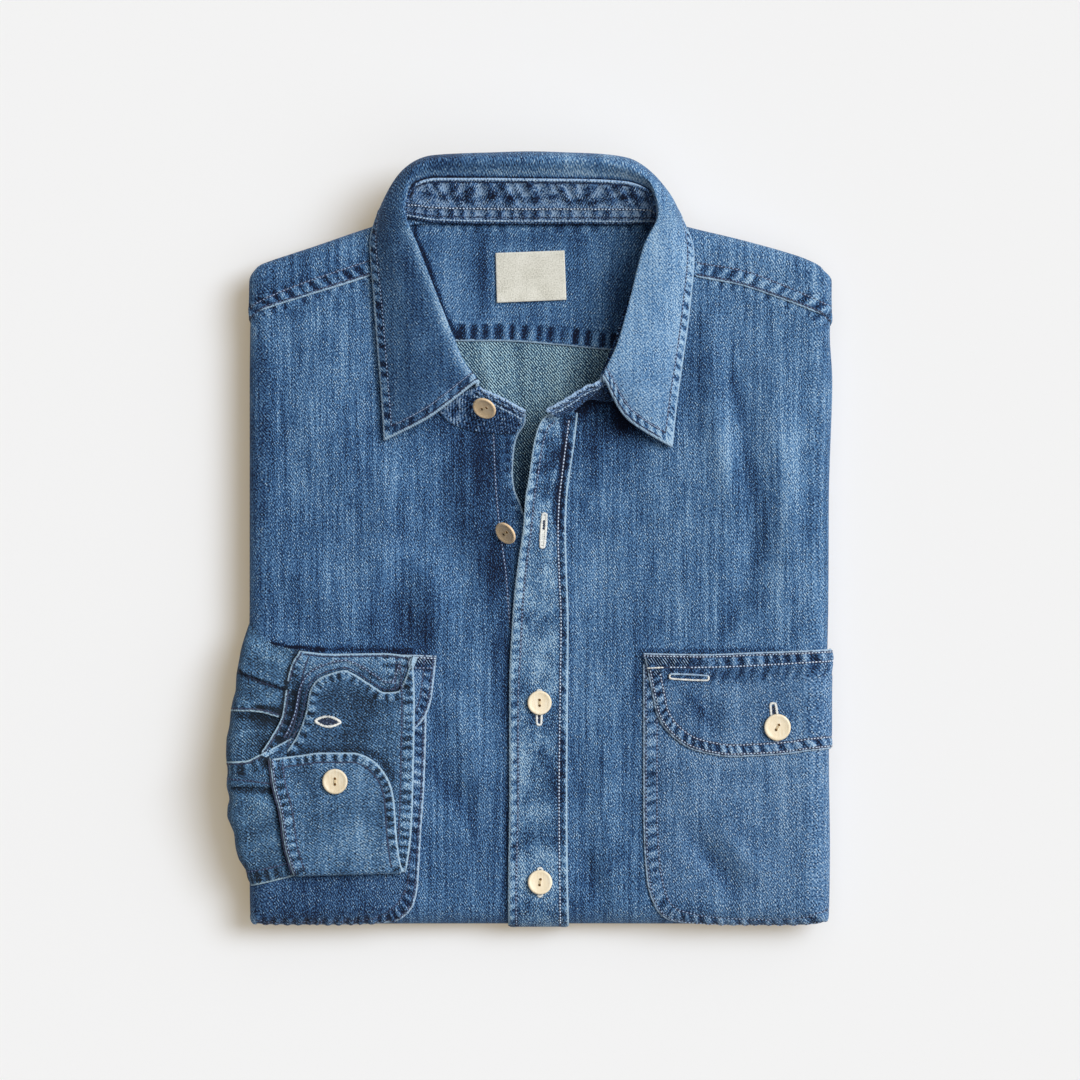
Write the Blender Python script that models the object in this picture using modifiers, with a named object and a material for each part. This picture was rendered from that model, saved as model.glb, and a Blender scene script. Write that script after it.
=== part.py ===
"""Folded denim shirt, laid flat on its back with the collar standing open.

Metres, +Z up. The packet lies on z = 0, +Y runs from the bottom fold to the
collar, +X to the wearer's left. The origin is on the ground under the middle
of the packet.

The cloth is laid out on a cutter's grid: u runs across (to the wearer's
left), v runs down from above the collar to the bottom fold, and one grid step
is 0.56 mm. Heights and lifts are in millimetres. body() turns a grid place
into a point on the folded packet, round its side folds and its bottom fold
too, and every panel, pocket and flap is made from its points, moved out.
"""
import bpy
import bmesh
import math
import numpy as np
from mathutils import Vector

# ---------------------------------------------------------------- sizes
STEP = 0.56                 # mm for one grid step
GRID_U0, GRID_V0 = 530.0, 540.8   # grid place of the origin
MM = 0.001

WALL = 1.4                  # cloth wall of a panel, mm
WALL_THIN = 1.2             # pockets, flaps and cuff layers, mm
SEAM = 0.5                  # clear gap at a seam, mm
LABEL_WALL = 1.0

MIDDLE_HEIGHT = 22.0        # top of the packet along the button line, mm
SIDE_RISE = 3.2             # how much thicker the packet is over the sleeves
ROLL_SIDE_OUT, ROLL_SIDE_UP = 12.0, 6.5     # half axes of the side folds
ROLL_TOP_UP = 6.0
ROLL_BOTTOM_OUT = 14.0
CORNER_POWER = 5.0          # squareness of the folded corners

BOTTOM_V = 925.0            # grid line of the bottom fold
LOWER_TOP = 12.0            # top of the folded-up lower half, mm

BUTTON_D, CUFF_BUTTON_D = 13.8, 14.2
BUTTON_T = 2.8

# ------------------------------------------------------------ the tables
# outline of the packet from above:   v,  left u,  right u
SIDES = [(268, 253, 826), (280, 250, 831), (333, 249.5, 830.5), (382, 249, 833),
         (449, 249, 831), (500, 249, 829.5), (600, 249, 829), (650, 248.5, 828),
         (700, 249, 827), (760, 250, 827), (850, 251, 828), (925, 252, 827)]
# shoulder fold from above:   u,  v
SHOULDER = [(250, 268), (310, 248.5), (370, 228), (400, 219), (430, 214.5),
            (530, 212), (630, 214.5), (660, 219), (686, 227), (743, 241),
            (799, 257), (829, 269)]
# front edge of the yoke: shoulder seams and back neck:   u,  v
YOKE_EDGE = [(250, 321), (264.5, 310), (301, 298), (370, 276), (382, 270),
             (390, 244), (402, 228), (420, 224), (530, 222.5), (642, 224),
             (660, 228), (671, 244), (679, 270), (697, 277), (738, 285),
             (782, 299.5), (816, 313), (830, 323.5)]
# wearer's right front, free edge and neck:   v,  u,  tilt of the row
RIGHT_FRONT = [(925, 548, 0), (600, 548, 0), (545, 541, 0), (513, 524, 0),
               (490, 515, 0), (470, 513, 0.02), (453, 514, 0.08),
               (438, 517, 0.16), (424, 522, 0.26), (412, 514, 0.34),
               (396, 477, 0.46), (372, 441, 0.60), (340, 415, 0.74),
               (305, 399, 0.88), (271, 384, 1.0)]
# wearer's left front, edge under the placket and neck:   v,  u,  tilt
LEFT_FRONT = [(925, 553, 0), (620, 553, 0), (560, 552, 0), (500, 554, 0),
              (460, 558, 0.04), (430, 563, 0.14), (412, 573, 0.28),
              (396, 603, 0.42), (372, 631, 0.60), (340, 652, 0.74),
              (305, 665, 0.88), (271, 678, 1.0)]
# buttonhole placket:   v,  left u,  right u,  rise of its free edge in mm
PLACKET = [(415, 547, 579, 12.5), (427, 538, 577, 12), (447, 533, 574.5, 10.5),
           (475, 529, 570.5, 8), (500, 525, 567.5, 5.5), (527, 523, 566.5, 3),
           (561, 518, 567, 1.6), (600, 513, 568, 1), (687, 509, 568, 0.4),
           (795, 509, 567.4, 0.3), (882, 508, 568, 0.3), (925, 508, 569, 0.3)]
# collar leaf and stand, one row a station round the neck from the wearer's
# right front to the left front.  Each is seam on the shirt (s, with its
# lift off the packet instead of a height), top of the
# stand (t), crest of the roll (r), middle of the leaf (m), edge of the leaf (e)
#   su,  sv,  sl,   tu,  tv,  tz,   ru,  rv,  rz,   mu,  mv,  mz,   eu,  ev,  ez
COLLAR = [
    (452, 424, 0.7, 478, 387, 36.0, 476, 383, 40.0, 430, 417, 35.5, 384, 440, 27.6),
    (425, 392, 0.7, 461, 366, 37.0, 461, 361, 41.5, 420, 378, 37.5, 381, 396, 27.6),
    (404, 350, 0.7, 445, 328, 38.0, 446, 323, 42.5, 412, 336, 38.5, 377, 346, 27.6),
    (391, 306, 0.7, 431, 291, 39.0, 433, 288, 43.5, 403, 292, 39.5, 373, 294, 27.8),
    (386, 264, 0.7, 416, 250, 40.0, 418, 248, 44.5, 393, 246, 40.5, 369.5, 246, 27.5),
    (389, 238, 1.3, 406, 216, 40.5, 404, 210, 46.0, 386, 209, 39.0, 376, 216, 25.0),
    (404, 226, 1.3, 411, 190, 43.0, 411, 178, 47.5, 402, 173, 38.0, 399, 182, 22.0),
    (436, 222, 1.3, 437, 180, 43.0, 436, 164, 48.5, 433, 156.5, 37.0, 434, 163, 20.0),
    (485, 220.5, 1.3, 486, 180, 43.0, 486, 162, 49.0, 486, 153.8, 36.0, 486, 159, 18.5),
    (530, 220.5, 1.3, 530, 180.5, 43.0, 530, 162, 49.2, 530, 153, 36.0, 530, 158, 18.0),
    (580, 220.5, 1.3, 579, 181, 43.0, 579, 162.5, 49.0, 580, 154, 36.0, 580, 159.5, 18.5),
    (622, 222, 1.3, 623, 183, 43.0, 622, 168, 48.8, 626, 159.5, 37.0, 625, 166, 20.0),
    (654, 228, 1.3, 651, 195, 43.0, 650, 185, 48.2, 660, 182.5, 38.5, 663, 191, 22.0),
    (669, 242, 1.3, 656, 219, 40.5, 658, 214, 47.0, 675, 212, 40.0, 684, 221, 25.0),
    (674, 268, 0.7, 645, 250, 40.0, 644, 248, 45.5, 669, 252, 41.0, 694.5, 256, 27.6),
    (668, 312, 0.7, 631, 306, 40.5, 630, 303, 45.0, 660, 307, 40.5, 690, 311, 27.8),
    (655, 352, 0.7, 618, 352, 41.5, 617, 349, 46.0, 650, 358, 41.0, 683, 362, 27.8),
    (636, 388, 0.7, 608, 374, 43.0, 607, 370, 46.5, 640, 390, 41.0, 677, 405, 27.6),
    (612, 402, 0.7, 602, 382, 44.0, 604, 379, 47.0, 634, 419, 38.0, 672.5, 447, 27.6),
]
# stand ends beyond the leaf:   su,  sv,  sl,   tu,  tv,  tz
STAND_RIGHT_END = [(502, 430, 0.9, 524, 411, 31.5), (480, 431, 0.7, 500, 398, 34.5)]
STAND_LEFT_END = [(582, 413, 2.5, 576, 396, 45.0), (549, 423, 15.5, 543, 413, 45.0)]
# patch pockets:   v,  u of the inner edge on the left-hand and right-hand side
POCKET_TOP_V = 664
POCKET_L = [(664, 427, 0), (713, 426, 0), (783, 424.5, 0), (834, 421, 0),
            (868, 419.5, 0), (885, 418, 0), (904, 414, 0), (914, 404, 0),
            (923, 392, 0), (928, 372, 0), (932, 335, 0)]
POCKET_R = [(664, 644, 0), (713, 643, 0), (808, 643, 0), (847, 644, 0),
            (883, 647, 0), (901, 652, 0), (912, 659.5, 0), (921, 671, 0),
            (927, 695, 0), (932, 739, 0)]
# flaps: left to right u, with v of the top and bottom edges
FLAP_R = [(643.5, 653, 662), (650, 653.3, 690), (659, 653.7, 719),
          (675, 653.9, 740), (700, 654, 752), (740, 653.5, 757), (808, 650.5, 751.5)]
FLAP_L = [(436.5, 655.5, 662), (431, 655.2, 698), (421, 655.1, 722),
          (405, 655, 739), (380, 655, 751), (340, 654.5, 755), (271, 652, 752)]
# sleeve: outline round the side of the packet and seam at the cuff
#   v outside,  u outside,  v at the cuff,  u at the cuff
SLEEVE = [(640, 243, 655, 296.0), (655, 240, 666, 292.5), (675, 236, 679, 288.5),
          (706, 233, 701, 286.0), (728, 229, 718, 279.5), (744, 226.5, 734, 270.0),
          (757, 225.5, 752, 262.0), (772, 225.3, 770, 271.0), (800, 226.3, 803, 278.0),
          (828, 230, 832, 282.5), (855, 236, 855, 287.0), (872, 243, 867, 290.5)]
# cuff, under layer:   v,  left u,  right u
CUFF_UNDER = [(652.5, 299.5, 411), (667, 294, 412), (687, 289.5, 413),
              (708, 287, 413.5), (728, 277.5, 413.5), (746.5, 267, 413),
              (753, 264, 413), (770, 273, 413), (800, 280, 412), (830, 285, 411),
              (855, 290, 409), (872, 295, 405.5)]
# cuff, buttonhole end, turned back over the under layer
CUFF_HOLE_END = [(671.5, 330, 347), (676, 322.5, 357), (682, 317.5, 372),
                 (690, 312, 393), (700, 309.5, 412.5), (712, 306, 414),
                 (734, 299, 414), (750, 290, 413.5), (775, 290, 413),
                 (810, 291, 412), (845, 296, 409.5), (870, 304, 405)]
# cuff, button end
CUFF_BUTTON_END = [(752, 300, 352), (755, 290, 362), (760, 272.5, 373),
                   (770, 272.5, 383), (785, 274.5, 391), (804, 279.5, 395),
                   (834, 285, 397), (863, 292, 401), (873, 295.5, 404)]
# buttons:   name,  u,  v,  lift of the seat,  diameter,  facing across,  facing up
BUTTONS = [("button_front_2", 507, 532, 2.3, BUTTON_D, 0.30, 0.22),
           ("button_front_3", 539.4, 702.6, 2.9, BUTTON_D, 0.05, -0.05),
           ("button_front_4", 540, 882.4, 3.2, BUTTON_D, 0.0, 0.10),
           ("button_cuff", 335.5, 780.8, 10.1, CUFF_BUTTON_D, 0.02, 0.02),
           ("button_flap", 777, 727, 4.3, 15.0, 0.03, -0.03)]
# broad folds of the fronts:  u0, v0, u1, v1, half width mm, height mm
FOLDS = [(600, 440, 700, 600, 16, -0.8), (720, 330, 780, 560, 20, 0.9),
         (300, 380, 420, 620, 18, 0.8), (330, 520, 480, 560, 14, -0.7),
         (600, 700, 612, 900, 10, 0.6), (455, 600, 470, 880, 12, 0.6)]

COLLAR_BUTTON = (485.4, 407.3, 35.2)       # its seat on the stand: u, v, height mm

COLOURS = {
    "denim": (0.085, 0.19, 0.37), "denim_inside": (0.23, 0.32, 0.42),
    "denim_dark": (0.02, 0.04, 0.10), "horn": (0.80, 0.68, 0.48),
    "label": (0.80, 0.77, 0.68),
}


# ---------------------------------------------------------- small helpers
def gx(u):
    return (np.asarray(u, float) - GRID_U0) * STEP


def gy(v):
    return (GRID_V0 - np.asarray(v, float)) * STEP


def smooth(t):
    t = np.clip(t, 0.0, 1.0)
    return t * t * (3.0 - 2.0 * t)


def curve(rows, t, col=1):
    """Smooth value of a table's column at t; its first column is the key."""
    rows = sorted(rows, key=lambda r: r[0])
    k = np.array([r[0] for r in rows], float)
    v = np.array([r[col] for r in rows], float)
    t = np.clip(np.asarray(t, float), k[0], k[-1])
    d = np.diff(v) / np.diff(k)
    m = np.zeros_like(v)
    m[0], m[-1] = d[0], d[-1]
    same = d[:-1] * d[1:] > 0
    total = np.where(same, d[:-1] + d[1:], 1.0)
    m[1:-1] = np.where(same, 2.0 * d[:-1] * d[1:] / total, 0.0)
    i = np.clip(np.searchsorted(k, t, side="right") - 1, 0, len(k) - 2)
    h = k[i + 1] - k[i]
    s = (t - k[i]) / h
    return ((2 * s**3 - 3 * s**2 + 1) * v[i] + (s**3 - 2 * s**2 + s) * h * m[i]
            + (3 * s**2 - 2 * s**3) * v[i + 1] + (s**3 - s**2) * h * m[i + 1])


def height(u, v):
    """Top of the folded packet in mm, before it turns down at its folds."""
    x, y = gx(u), gy(v)
    z = MIDDLE_HEIGHT + SIDE_RISE * smooth((np.abs(x) - 25.0) / 95.0)
    for u0, v0, u1, v1, half, rise in FOLDS:
        ax, ay, bx, by = gx(u0), gy(v0), gx(u1), gy(v1)
        length = math.hypot(bx - ax, by - ay)
        tx, ty = (bx - ax) / length, (by - ay) / length
        along = ((x - ax) * tx + (y - ay) * ty) / length
        off = (x - ax) * -ty + (y - ay) * tx
        z = z + rise * np.exp(-(off / half) ** 2) * smooth(along * 3 + 0.5) * smooth((1 - along) * 3 + 0.5)
    return z


def body(u, v, lift=0.0):
    """Point on the packet: u, v on the flat cloth, lift in mm off its face.
    Past a fold, u or v goes on along the cloth as it turns under."""
    u, v, lift = np.broadcast_arrays(np.asarray(u, float), np.asarray(v, float),
                                     np.asarray(lift, float))
    left, right = curve(SIDES, v, 1), curve(SIDES, v, 2)
    top = curve(SHOULDER, u)
    roll_u = ROLL_SIDE_OUT / STEP
    edge_v = curve(YOKE_EDGE, u)
    roll_top = np.minimum(10.0 / STEP, (edge_v - top) * 0.8)
    roll_bottom = ROLL_BOTTOM_OUT / STEP
    quarter_u, quarter_b = roll_u * 1.24, roll_bottom * 1.46
    quarter_t = roll_top * 1.3
    over_l, over_r = (left + roll_u) - u, u - (right - roll_u)
    over_t, over_b = (top + roll_top) - v, v - (BOTTOM_V - roll_bottom)
    eu = np.maximum(np.maximum(over_l, over_r), 0) / quarter_u
    ev = np.where(over_b > 0, over_b / quarter_b, np.maximum(over_t, 0) / quarter_t)
    su = np.where(over_l > 0, -1.0, 1.0)
    sv = np.where(over_b > 0, 1.0, -1.0)
    turn = np.maximum(eu, ev)
    norm = np.maximum((eu ** CORNER_POWER + ev ** CORNER_POWER) ** (1 / CORNER_POWER), 1e-9)
    du, dv = eu / norm, ev / norm
    ang = np.minimum(turn, 1.95) * math.pi / 2
    bu = np.clip(u, left + roll_u, right - roll_u)
    bv = np.clip(v, top + roll_top, BOTTOM_V - roll_bottom)
    h = height(bu, bv)
    up_v = np.where(over_b > 0, (h - 1.2) / 2, ROLL_TOP_UP)
    total = np.maximum(du ** 2 + dv ** 2, 1e-9)
    up = (ROLL_SIDE_UP * du ** 2 + up_v * dv ** 2) / total
    up = np.where(turn > 0, up, 0)
    out_v = np.where(over_b > 0, ROLL_BOTTOM_OUT, roll_top * STEP)
    x = gx(bu) + su * du * (ROLL_SIDE_OUT * np.sin(ang) + lift * np.sin(ang))
    y = gy(bv) - sv * dv * (out_v * np.sin(ang) + lift * np.sin(ang))
    z = h - up * (1 - np.cos(ang)) + lift * np.cos(ang)
    return np.stack([x, y, z], -1)


# ------------------------------------------------------------- materials
def material(name):
    mat = bpy.data.materials.get(name)
    if mat is None:
        mat = bpy.data.materials.new(name)
        mat.use_nodes = True
        bsdf = mat.node_tree.nodes["Principled BSDF"]
        bsdf.inputs["Base Color"].default_value = COLOURS[name] + (1.0,)
        bsdf.inputs["Roughness"].default_value = 0.45 if name == "horn" else 0.9
        bsdf.inputs["Metallic"].default_value = 0.0
    return mat


def finish(name, bm, slot, wall=0.0, offset=-1.0):
    """Name a bmesh, shade it smooth and, for cloth, give it its wall."""
    mesh = bpy.data.meshes.new(name)
    bm.to_mesh(mesh)
    bm.free()
    obj = bpy.data.objects.new(name, mesh)
    parts.objects.link(obj)
    mesh.materials.append(material(slot))
    mesh.shade_smooth()
    mesh.set_sharp_from_angle(angle=math.radians(50))
    if wall:
        mod = obj.modifiers.new("cloth", "SOLIDIFY")
        mod.thickness = wall * MM
        mod.offset = offset
        mod.use_even_offset = False
    return obj


def sheet(name, points, slot, wall, offset=-1.0):
    """Cloth through a grid of points in mm, points[row][column]."""
    rows, cols = points.shape[:2]
    bm = bmesh.new()
    bmesh.ops.create_grid(bm, x_segments=cols - 1, y_segments=rows - 1, size=1.0)
    for vert in bm.verts:
        i = round((vert.co.x + 1) / 2 * (cols - 1))
        j = round((vert.co.y + 1) / 2 * (rows - 1))
        vert.co = points[j, i] * MM
    return finish(name, bm, slot, wall, offset)


def folds(count, first, last):
    return np.linspace(first, last, count)


# ------------------------------------------------------------ body panels
QUARTER_U = ROLL_SIDE_OUT / STEP * 1.24
QUARTER_B = ROLL_BOTTOM_OUT / STEP * 1.46
# quarter turns at which a panel has a row of points round its folds
UNDER_SIDE = (1.62, 1.3, 1.0, 0.72, 0.45, 0.2)
UNDER_BOTTOM = (1.9, 1.5, 1.15, 0.85, 0.55, 0.25, 0.0)
UNDER_PLACKET = (1.4, 1.1, 0.8, 0.5, 0.25, 0.0)


def front(name, table, side):
    """A front panel from its free edge round the side fold to its back.
    side is -1 for the wearer's right front and 1 for the left front."""
    vs = [BOTTOM_V - ROLL_BOTTOM_OUT / STEP + QUARTER_B * q for q in UNDER_BOTTOM]
    start = vs[-1]
    vs += [start - 50 * k for k in range(1, 8)]
    vs += [505, 470, 440, 415, 390, 352, 312, 272]
    across = np.array([0, 0.12, 0.30, 0.49, 0.68, 0.85, 1.0])
    out = []
    for v in vs:
        u_edge = float(curve(table, min(v, BOTTOM_V), 1))
        tilt = float(curve(table, min(v, BOTTOM_V), 2))
        vc = np.clip(v, 268, 925)
        if side < 0:
            u_roll = float(curve(SIDES, vc, 1)) + ROLL_SIDE_OUT / STEP
        else:
            u_roll = float(curve(SIDES, vc, 2)) - ROLL_SIDE_OUT / STEP
        us = u_edge + (u_roll - u_edge) * across
        turned = [u_roll + side * QUARTER_U * q for q in reversed(UNDER_SIDE)]
        us = np.concatenate([us, turned])
        # rows tip over towards the shoulder seam, which they reach at the top
        seam_here = curve(YOKE_EDGE, np.clip(us, 250, 830))
        seam_edge = float(curve(YOKE_EDGE, 382 if side < 0 else 679))
        vv = v + (seam_here - seam_edge) * tilt + SEAM / STEP * tilt
        if side < 0:
            us, vv = us[::-1], vv[::-1]
        out.append(body(us, vv))
    return sheet(name, np.array(out), "denim", WALL)


def yoke():
    """Back yoke and forward shoulders, over the shoulder fold."""
    roll = ROLL_SIDE_OUT / STEP
    left, right = 249.5 + roll, 830.5 - roll
    us = [left - QUARTER_U * q for q in UNDER_SIDE]
    us += [left, 305, 345, 370, 382, 388, 396, 408, 440, 485, 530, 575, 620, 650,
           662, 671, 679, 697, 735, 775, right]
    us += [right + QUARTER_U * q for q in reversed(UNDER_SIDE)]
    us = np.array(us)
    uc = np.clip(us, 250, 829)
    low, top = curve(YOKE_EDGE, uc) - SEAM / STEP, curve(SHOULDER, uc)
    roll_top = np.minimum(10.0 / STEP, (low + SEAM / STEP - top) * 0.8)
    start = top + roll_top
    rows = [body(us, low + (start - low) * f) for f in (0, 0.5, 1.0)]
    rows += [body(us, start - roll_top * 1.3 * q) for q in (0.35, 0.7, 1.05, 1.4, 1.75)]
    return sheet("yoke_outer", np.array(rows), "denim", WALL)


def placket():
    vs = [BOTTOM_V - ROLL_BOTTOM_OUT / STEP + QUARTER_B * q for q in UNDER_PLACKET]
    vs += [850, 800, 750, 700, 650, 610, 575, 545, 515, 485, 458, 438, 426, 416]
    out = []
    for v in vs:
        vc = min(v, BOTTOM_V)
        left, right = float(curve(PLACKET, vc, 1)), float(curve(PLACKET, vc, 2))
        rise = float(curve(PLACKET, vc, 3))
        f = np.array([0, 0.3, 0.65, 1.0])
        pts = body(left + (right - left) * f, v, WALL + 0.6)
        pts[:, 2] += rise * (1 - f) ** 1.5
        out.append(pts)
    return sheet("placket_front", np.array(out), "denim", WALL)


# -------------------------------------------------------------- the neck
def station_points(rows, cols, steps):
    """Smooth points through the same columns of every row, steps a gap."""
    rows = np.array([[r[c] for c in cols] for r in rows], float)
    keys = np.arange(len(rows))
    t = np.linspace(0, len(rows) - 1, (len(rows) - 1) * steps + 1)
    vals = [curve(list(zip(keys, rows[:, c])), t) for c in range(3)]
    return np.stack([gx(vals[0]), gy(vals[1]), vals[2]], -1)


def through(stack, ts):
    """Points at ts along the smooth line through a stack of point rows."""
    keys = np.arange(len(stack))
    stack = np.array(stack)                     # level, station, xyz
    out = np.zeros((len(ts),) + stack.shape[1:])
    for k, t in enumerate(ts):
        i = min(int(t), len(stack) - 2)
        f = t - i
        p0 = stack[max(i - 1, 0)]
        p1, p2 = stack[i], stack[i + 1]
        p3 = stack[min(i + 2, len(stack) - 1)]
        out[k] = 0.5 * (2 * p1 + (p2 - p0) * f + (2 * p0 - 5 * p1 + 4 * p2 - p3) * f**2
                        + (3 * p1 - p0 - 3 * p2 + p3) * f**3)
    return out


def collar():
    steps = 2
    stand_rows = STAND_RIGHT_END + [r[:6] for r in COLLAR] + STAND_LEFT_END[:]
    s = station_points(stand_rows, (0, 1, 2), steps)
    s[:, 2] += height(s[:, 0] / STEP + GRID_U0, GRID_V0 - s[:, 1] / STEP)
    t = station_points(stand_rows, (3, 4, 5), steps)
    # the stand is slightly hollow between its seams
    middle = (s + t) / 2
    stand = np.array([s, middle, t])
    sheet("collar_stand", stand, "denim", WALL)

    t = station_points(COLLAR, (3, 4, 5), steps)
    r = station_points(COLLAR, (6, 7, 8), steps)
    m = station_points(COLLAR, (9, 10, 11), steps)
    e = station_points(COLLAR, (12, 13, 14), steps)
    low = t + (r - t) * 0.25
    low[:, 2] = t[:, 2] + 2.1
    leaf = through([low, r, m, e], (0, 0.5, 1.0, 1.4, 1.8, 2.35, 3.0))
    sheet("collar_leaf", leaf, "denim", WALL)


def inside():
    """Inner yoke and inside of the back, seen through the neck."""
    rows = []
    for v, left, right, zl, zm in ((343, 402, 655, 19.2, 18.4), (318, 399, 662, 19.6, 18.6),
                                   (290, 396, 668, 20.0, 18.8), (262, 394, 667, 20.4, 19.2),
                                   (242, 397, 661, 20.8, 20.2), (228, 411, 648, 21.2, 21.0)):
        f = np.linspace(0, 1, 7)
        z = zm + (zl - zm) * (2 * f - 1) ** 4
        rows.append(np.stack([gx(left + (right - left) * f), gy(v + 0 * f), z], -1))
    sheet("yoke_inner", np.array(rows), "denim", WALL_THIN)
    rows = []
    for v, left, right in ((545, 482, 578), (500, 474, 584), (455, 462, 596),
                           (415, 450, 612), (380, 436, 625), (345, 418, 640)):
        f = np.linspace(0, 1, 5)
        rows.append(np.stack([gx(left + (right - left) * f), gy(v + 0 * f), 17.6 + 0 * f], -1))
    sheet("back_inside", np.array(rows), "denim_inside", WALL_THIN)
    rows = []
    for v in (302, 276, 250):
        f = np.linspace(0, 1, 4)
        u = 495.5 + 70 * f
        z = 19.2 + (v < 262) * 0.55 + 1.25 + 0 * f
        rows.append(np.stack([gx(u), gy(v - 1.5 * f), z], -1))
    sheet("neck_label", np.array(rows), "label", LABEL_WALL)


# --------------------------------------------------- pockets, flaps, cuff
def pocket(name, table, side):
    vs = [932, 927, 921, 912, 900, 883, 840, 780, 720, POCKET_TOP_V]
    out = []
    for v in vs:
        inner = float(curve(table, v, 1))
        if side < 0:
            u_roll = float(curve(SIDES, v, 1)) + ROLL_SIDE_OUT / STEP
        else:
            u_roll = float(curve(SIDES, v, 2)) - ROLL_SIDE_OUT / STEP
        across = np.array([0, 0.12, 0.4, 0.7, 1.0])
        us = inner + (u_roll - inner) * across
        turns = (0.2, 0.45, 0.72) if side < 0 else (0.2, 0.45, 0.72, 1.0, 1.3)
        us = np.concatenate([us, [u_roll + side * QUARTER_U * q for q in turns]])
        if side < 0:
            us = us[::-1]
        out.append(body(us, v, WALL_THIN + 0.6))
    return sheet(name, np.array(out), "denim", WALL_THIN)


def flap(name, table, side):
    rows = sorted(table)
    if side > 0:
        us = [r[0] for r in rows]
        tops, bottoms = [r[1] for r in rows], [r[2] for r in rows]
        u_roll = float(curve(SIDES, 700, 2)) - ROLL_SIDE_OUT / STEP
        extra = [u_roll + QUARTER_U * q for q in (0.2, 0.45, 0.72, 1.0, 1.3)]
        us, tops, bottoms = us + extra, tops + [649.5] * 5, bottoms + [750] * 5
    else:
        us = [r[0] for r in rows]
        tops, bottoms = [r[1] for r in rows], [r[2] for r in rows]
        u_roll = float(curve(SIDES, 700, 1)) + ROLL_SIDE_OUT / STEP
        extra = [u_roll - QUARTER_U * q for q in (0.45, 0.2)]
        us, tops, bottoms = extra + us, [651] * 2 + tops, [751] * 2 + bottoms
    us, tops, bottoms = np.array(us), np.array(tops), np.array(bottoms)
    lift = 2 * WALL_THIN + 1.3
    out = [body(us, bottoms + (tops - bottoms) * f, lift) for f in (0, 0.25, 0.6, 0.9, 1)]
    return sheet(name, np.array(out), "denim", WALL_THIN)


def cuff_lift(u, v):
    """How far the cuff's lowest layer lies above the front, in mm."""
    return 5.3 + 0 * np.asarray(u, float)


def cuff_layer(name, table, vs, extra, slot):
    out = []
    for v in vs:
        left, right = float(curve(table, v, 1)), float(curve(table, v, 2))
        f = np.array([0, 0.14, 0.38, 0.62, 0.86, 1.0])
        u = left + (right - left) * f
        pts = body(u, v, 0.0)
        base = height(u, np.full_like(u, v))
        pts = np.stack([gx(u), gy(v + 0 * u), base + cuff_lift(u, v) + extra], -1)
        out.append(pts)
    return sheet(name, np.array(out), slot, WALL_THIN)


def sleeve():
    """The folded sleeve comes up round the side of the packet to the cuff."""
    out = []
    for vo, uo, vc, uc in reversed(SLEEVE):
        h = float(height(290, vc)) + 5.3
        xs, xc = float(gx(uo)), float(gx(uc - 1.6))
        reach = float(smooth((243 - uo) / 12.0))        # how far it stands off the side
        ring = [(-158.6, 10.5 - 2.5 * reach, 0.0), (xs + 1.4 + 1.6 * reach, 8.5 - 3.5 * reach, 0.0),
                (xs + 0.3, 12.0 - 2.5 * reach, 0.0), (xs, 17.0, 0.0),
                (xs + 1.0, 22.5 + reach, 0.02), (xs + 4.0, h - 2.2, 0.08),
                (xs + 9.0, h - 0.3, 0.22), (xs + (xc - xs) * 0.6, h, 0.6), (xc, h, 1.0)]
        yo, yc = float(gy(vo)), float(gy(vc))
        out.append([(x, yo + (yc - yo) * f, z) for x, z, f in ring])
    pts = np.array(out)
    return sheet("sleeve", pts, "denim", WALL)


def sleeve_placket():
    rows = []
    for v in (783, 771, 759):
        us = np.array([237, 245, 253, 261, 268.5 if v > 765 else 262.0])
        z = height(290, v) + 5.3 + 1.8 - np.array([0.6, 0.1, 0, 0, 0])
        rows.append(np.stack([gx(us), gy(v + (us < 250) * 0.5), z], -1))
    return sheet("sleeve_placket", np.array(rows), "denim", WALL_THIN)


# -------------------------------------------------------- hidden layers
# outline rings of the folded layers, bottom up: two folded plies, and the
# one inside the rolled sides of the fronts.  Heights are for the full height
# over the sides and go down with the packet:
#   inset at the sides,  at the bottom fold,  height, all mm
LAYER_EDGES = [(4.5, 16.5, 0.0), (1.6, 15.5, 1.2), (1.4, 13.5, 4.2), (4.6, 8.5, 5.9),
               (1.8, 6.6, 7.3), (1.8, 4.2, 10.4), (5.0, 3.2, 12.0), (9.0, 3.0, 12.7),
               (9.0, 3.2, 15.2), (5.6, 3.8, 16.9), (4.4, 5.0, 18.9), (5.8, 7.6, 20.8),
               (11.5, 13.0, 22.3)]
NECK_WELL = [(396, 222), (664, 222), (684, 262), (684, 312), (670, 370), (640, 425),
             (602, 470), (592, 560), (470, 560), (455, 470), (420, 425), (394, 370),
             (380, 312), (378, 262)]


def well_distance(x, y):
    """Distance in mm outside the neck well, negative inside."""
    px = [float(gx(u)) for u, v in NECK_WELL]
    py = [float(gy(v)) for u, v in NECK_WELL]
    best, inside_flag = 1e9, False
    n = len(px)
    for i in range(n):
        j = (i + 1) % n
        ex, ey = px[j] - px[i], py[j] - py[i]
        f = max(0.0, min(1.0, ((x - px[i]) * ex + (y - py[i]) * ey) / (ex * ex + ey * ey)))
        best = min(best, math.hypot(x - px[i] - f * ex, y - py[i] - f * ey))
        if (py[i] > y) != (py[j] > y) and x < (px[j] - px[i]) * (y - py[i]) / (py[j] - py[i]) + px[i]:
            inside_flag = not inside_flag
    return -best if inside_flag else best


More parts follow.
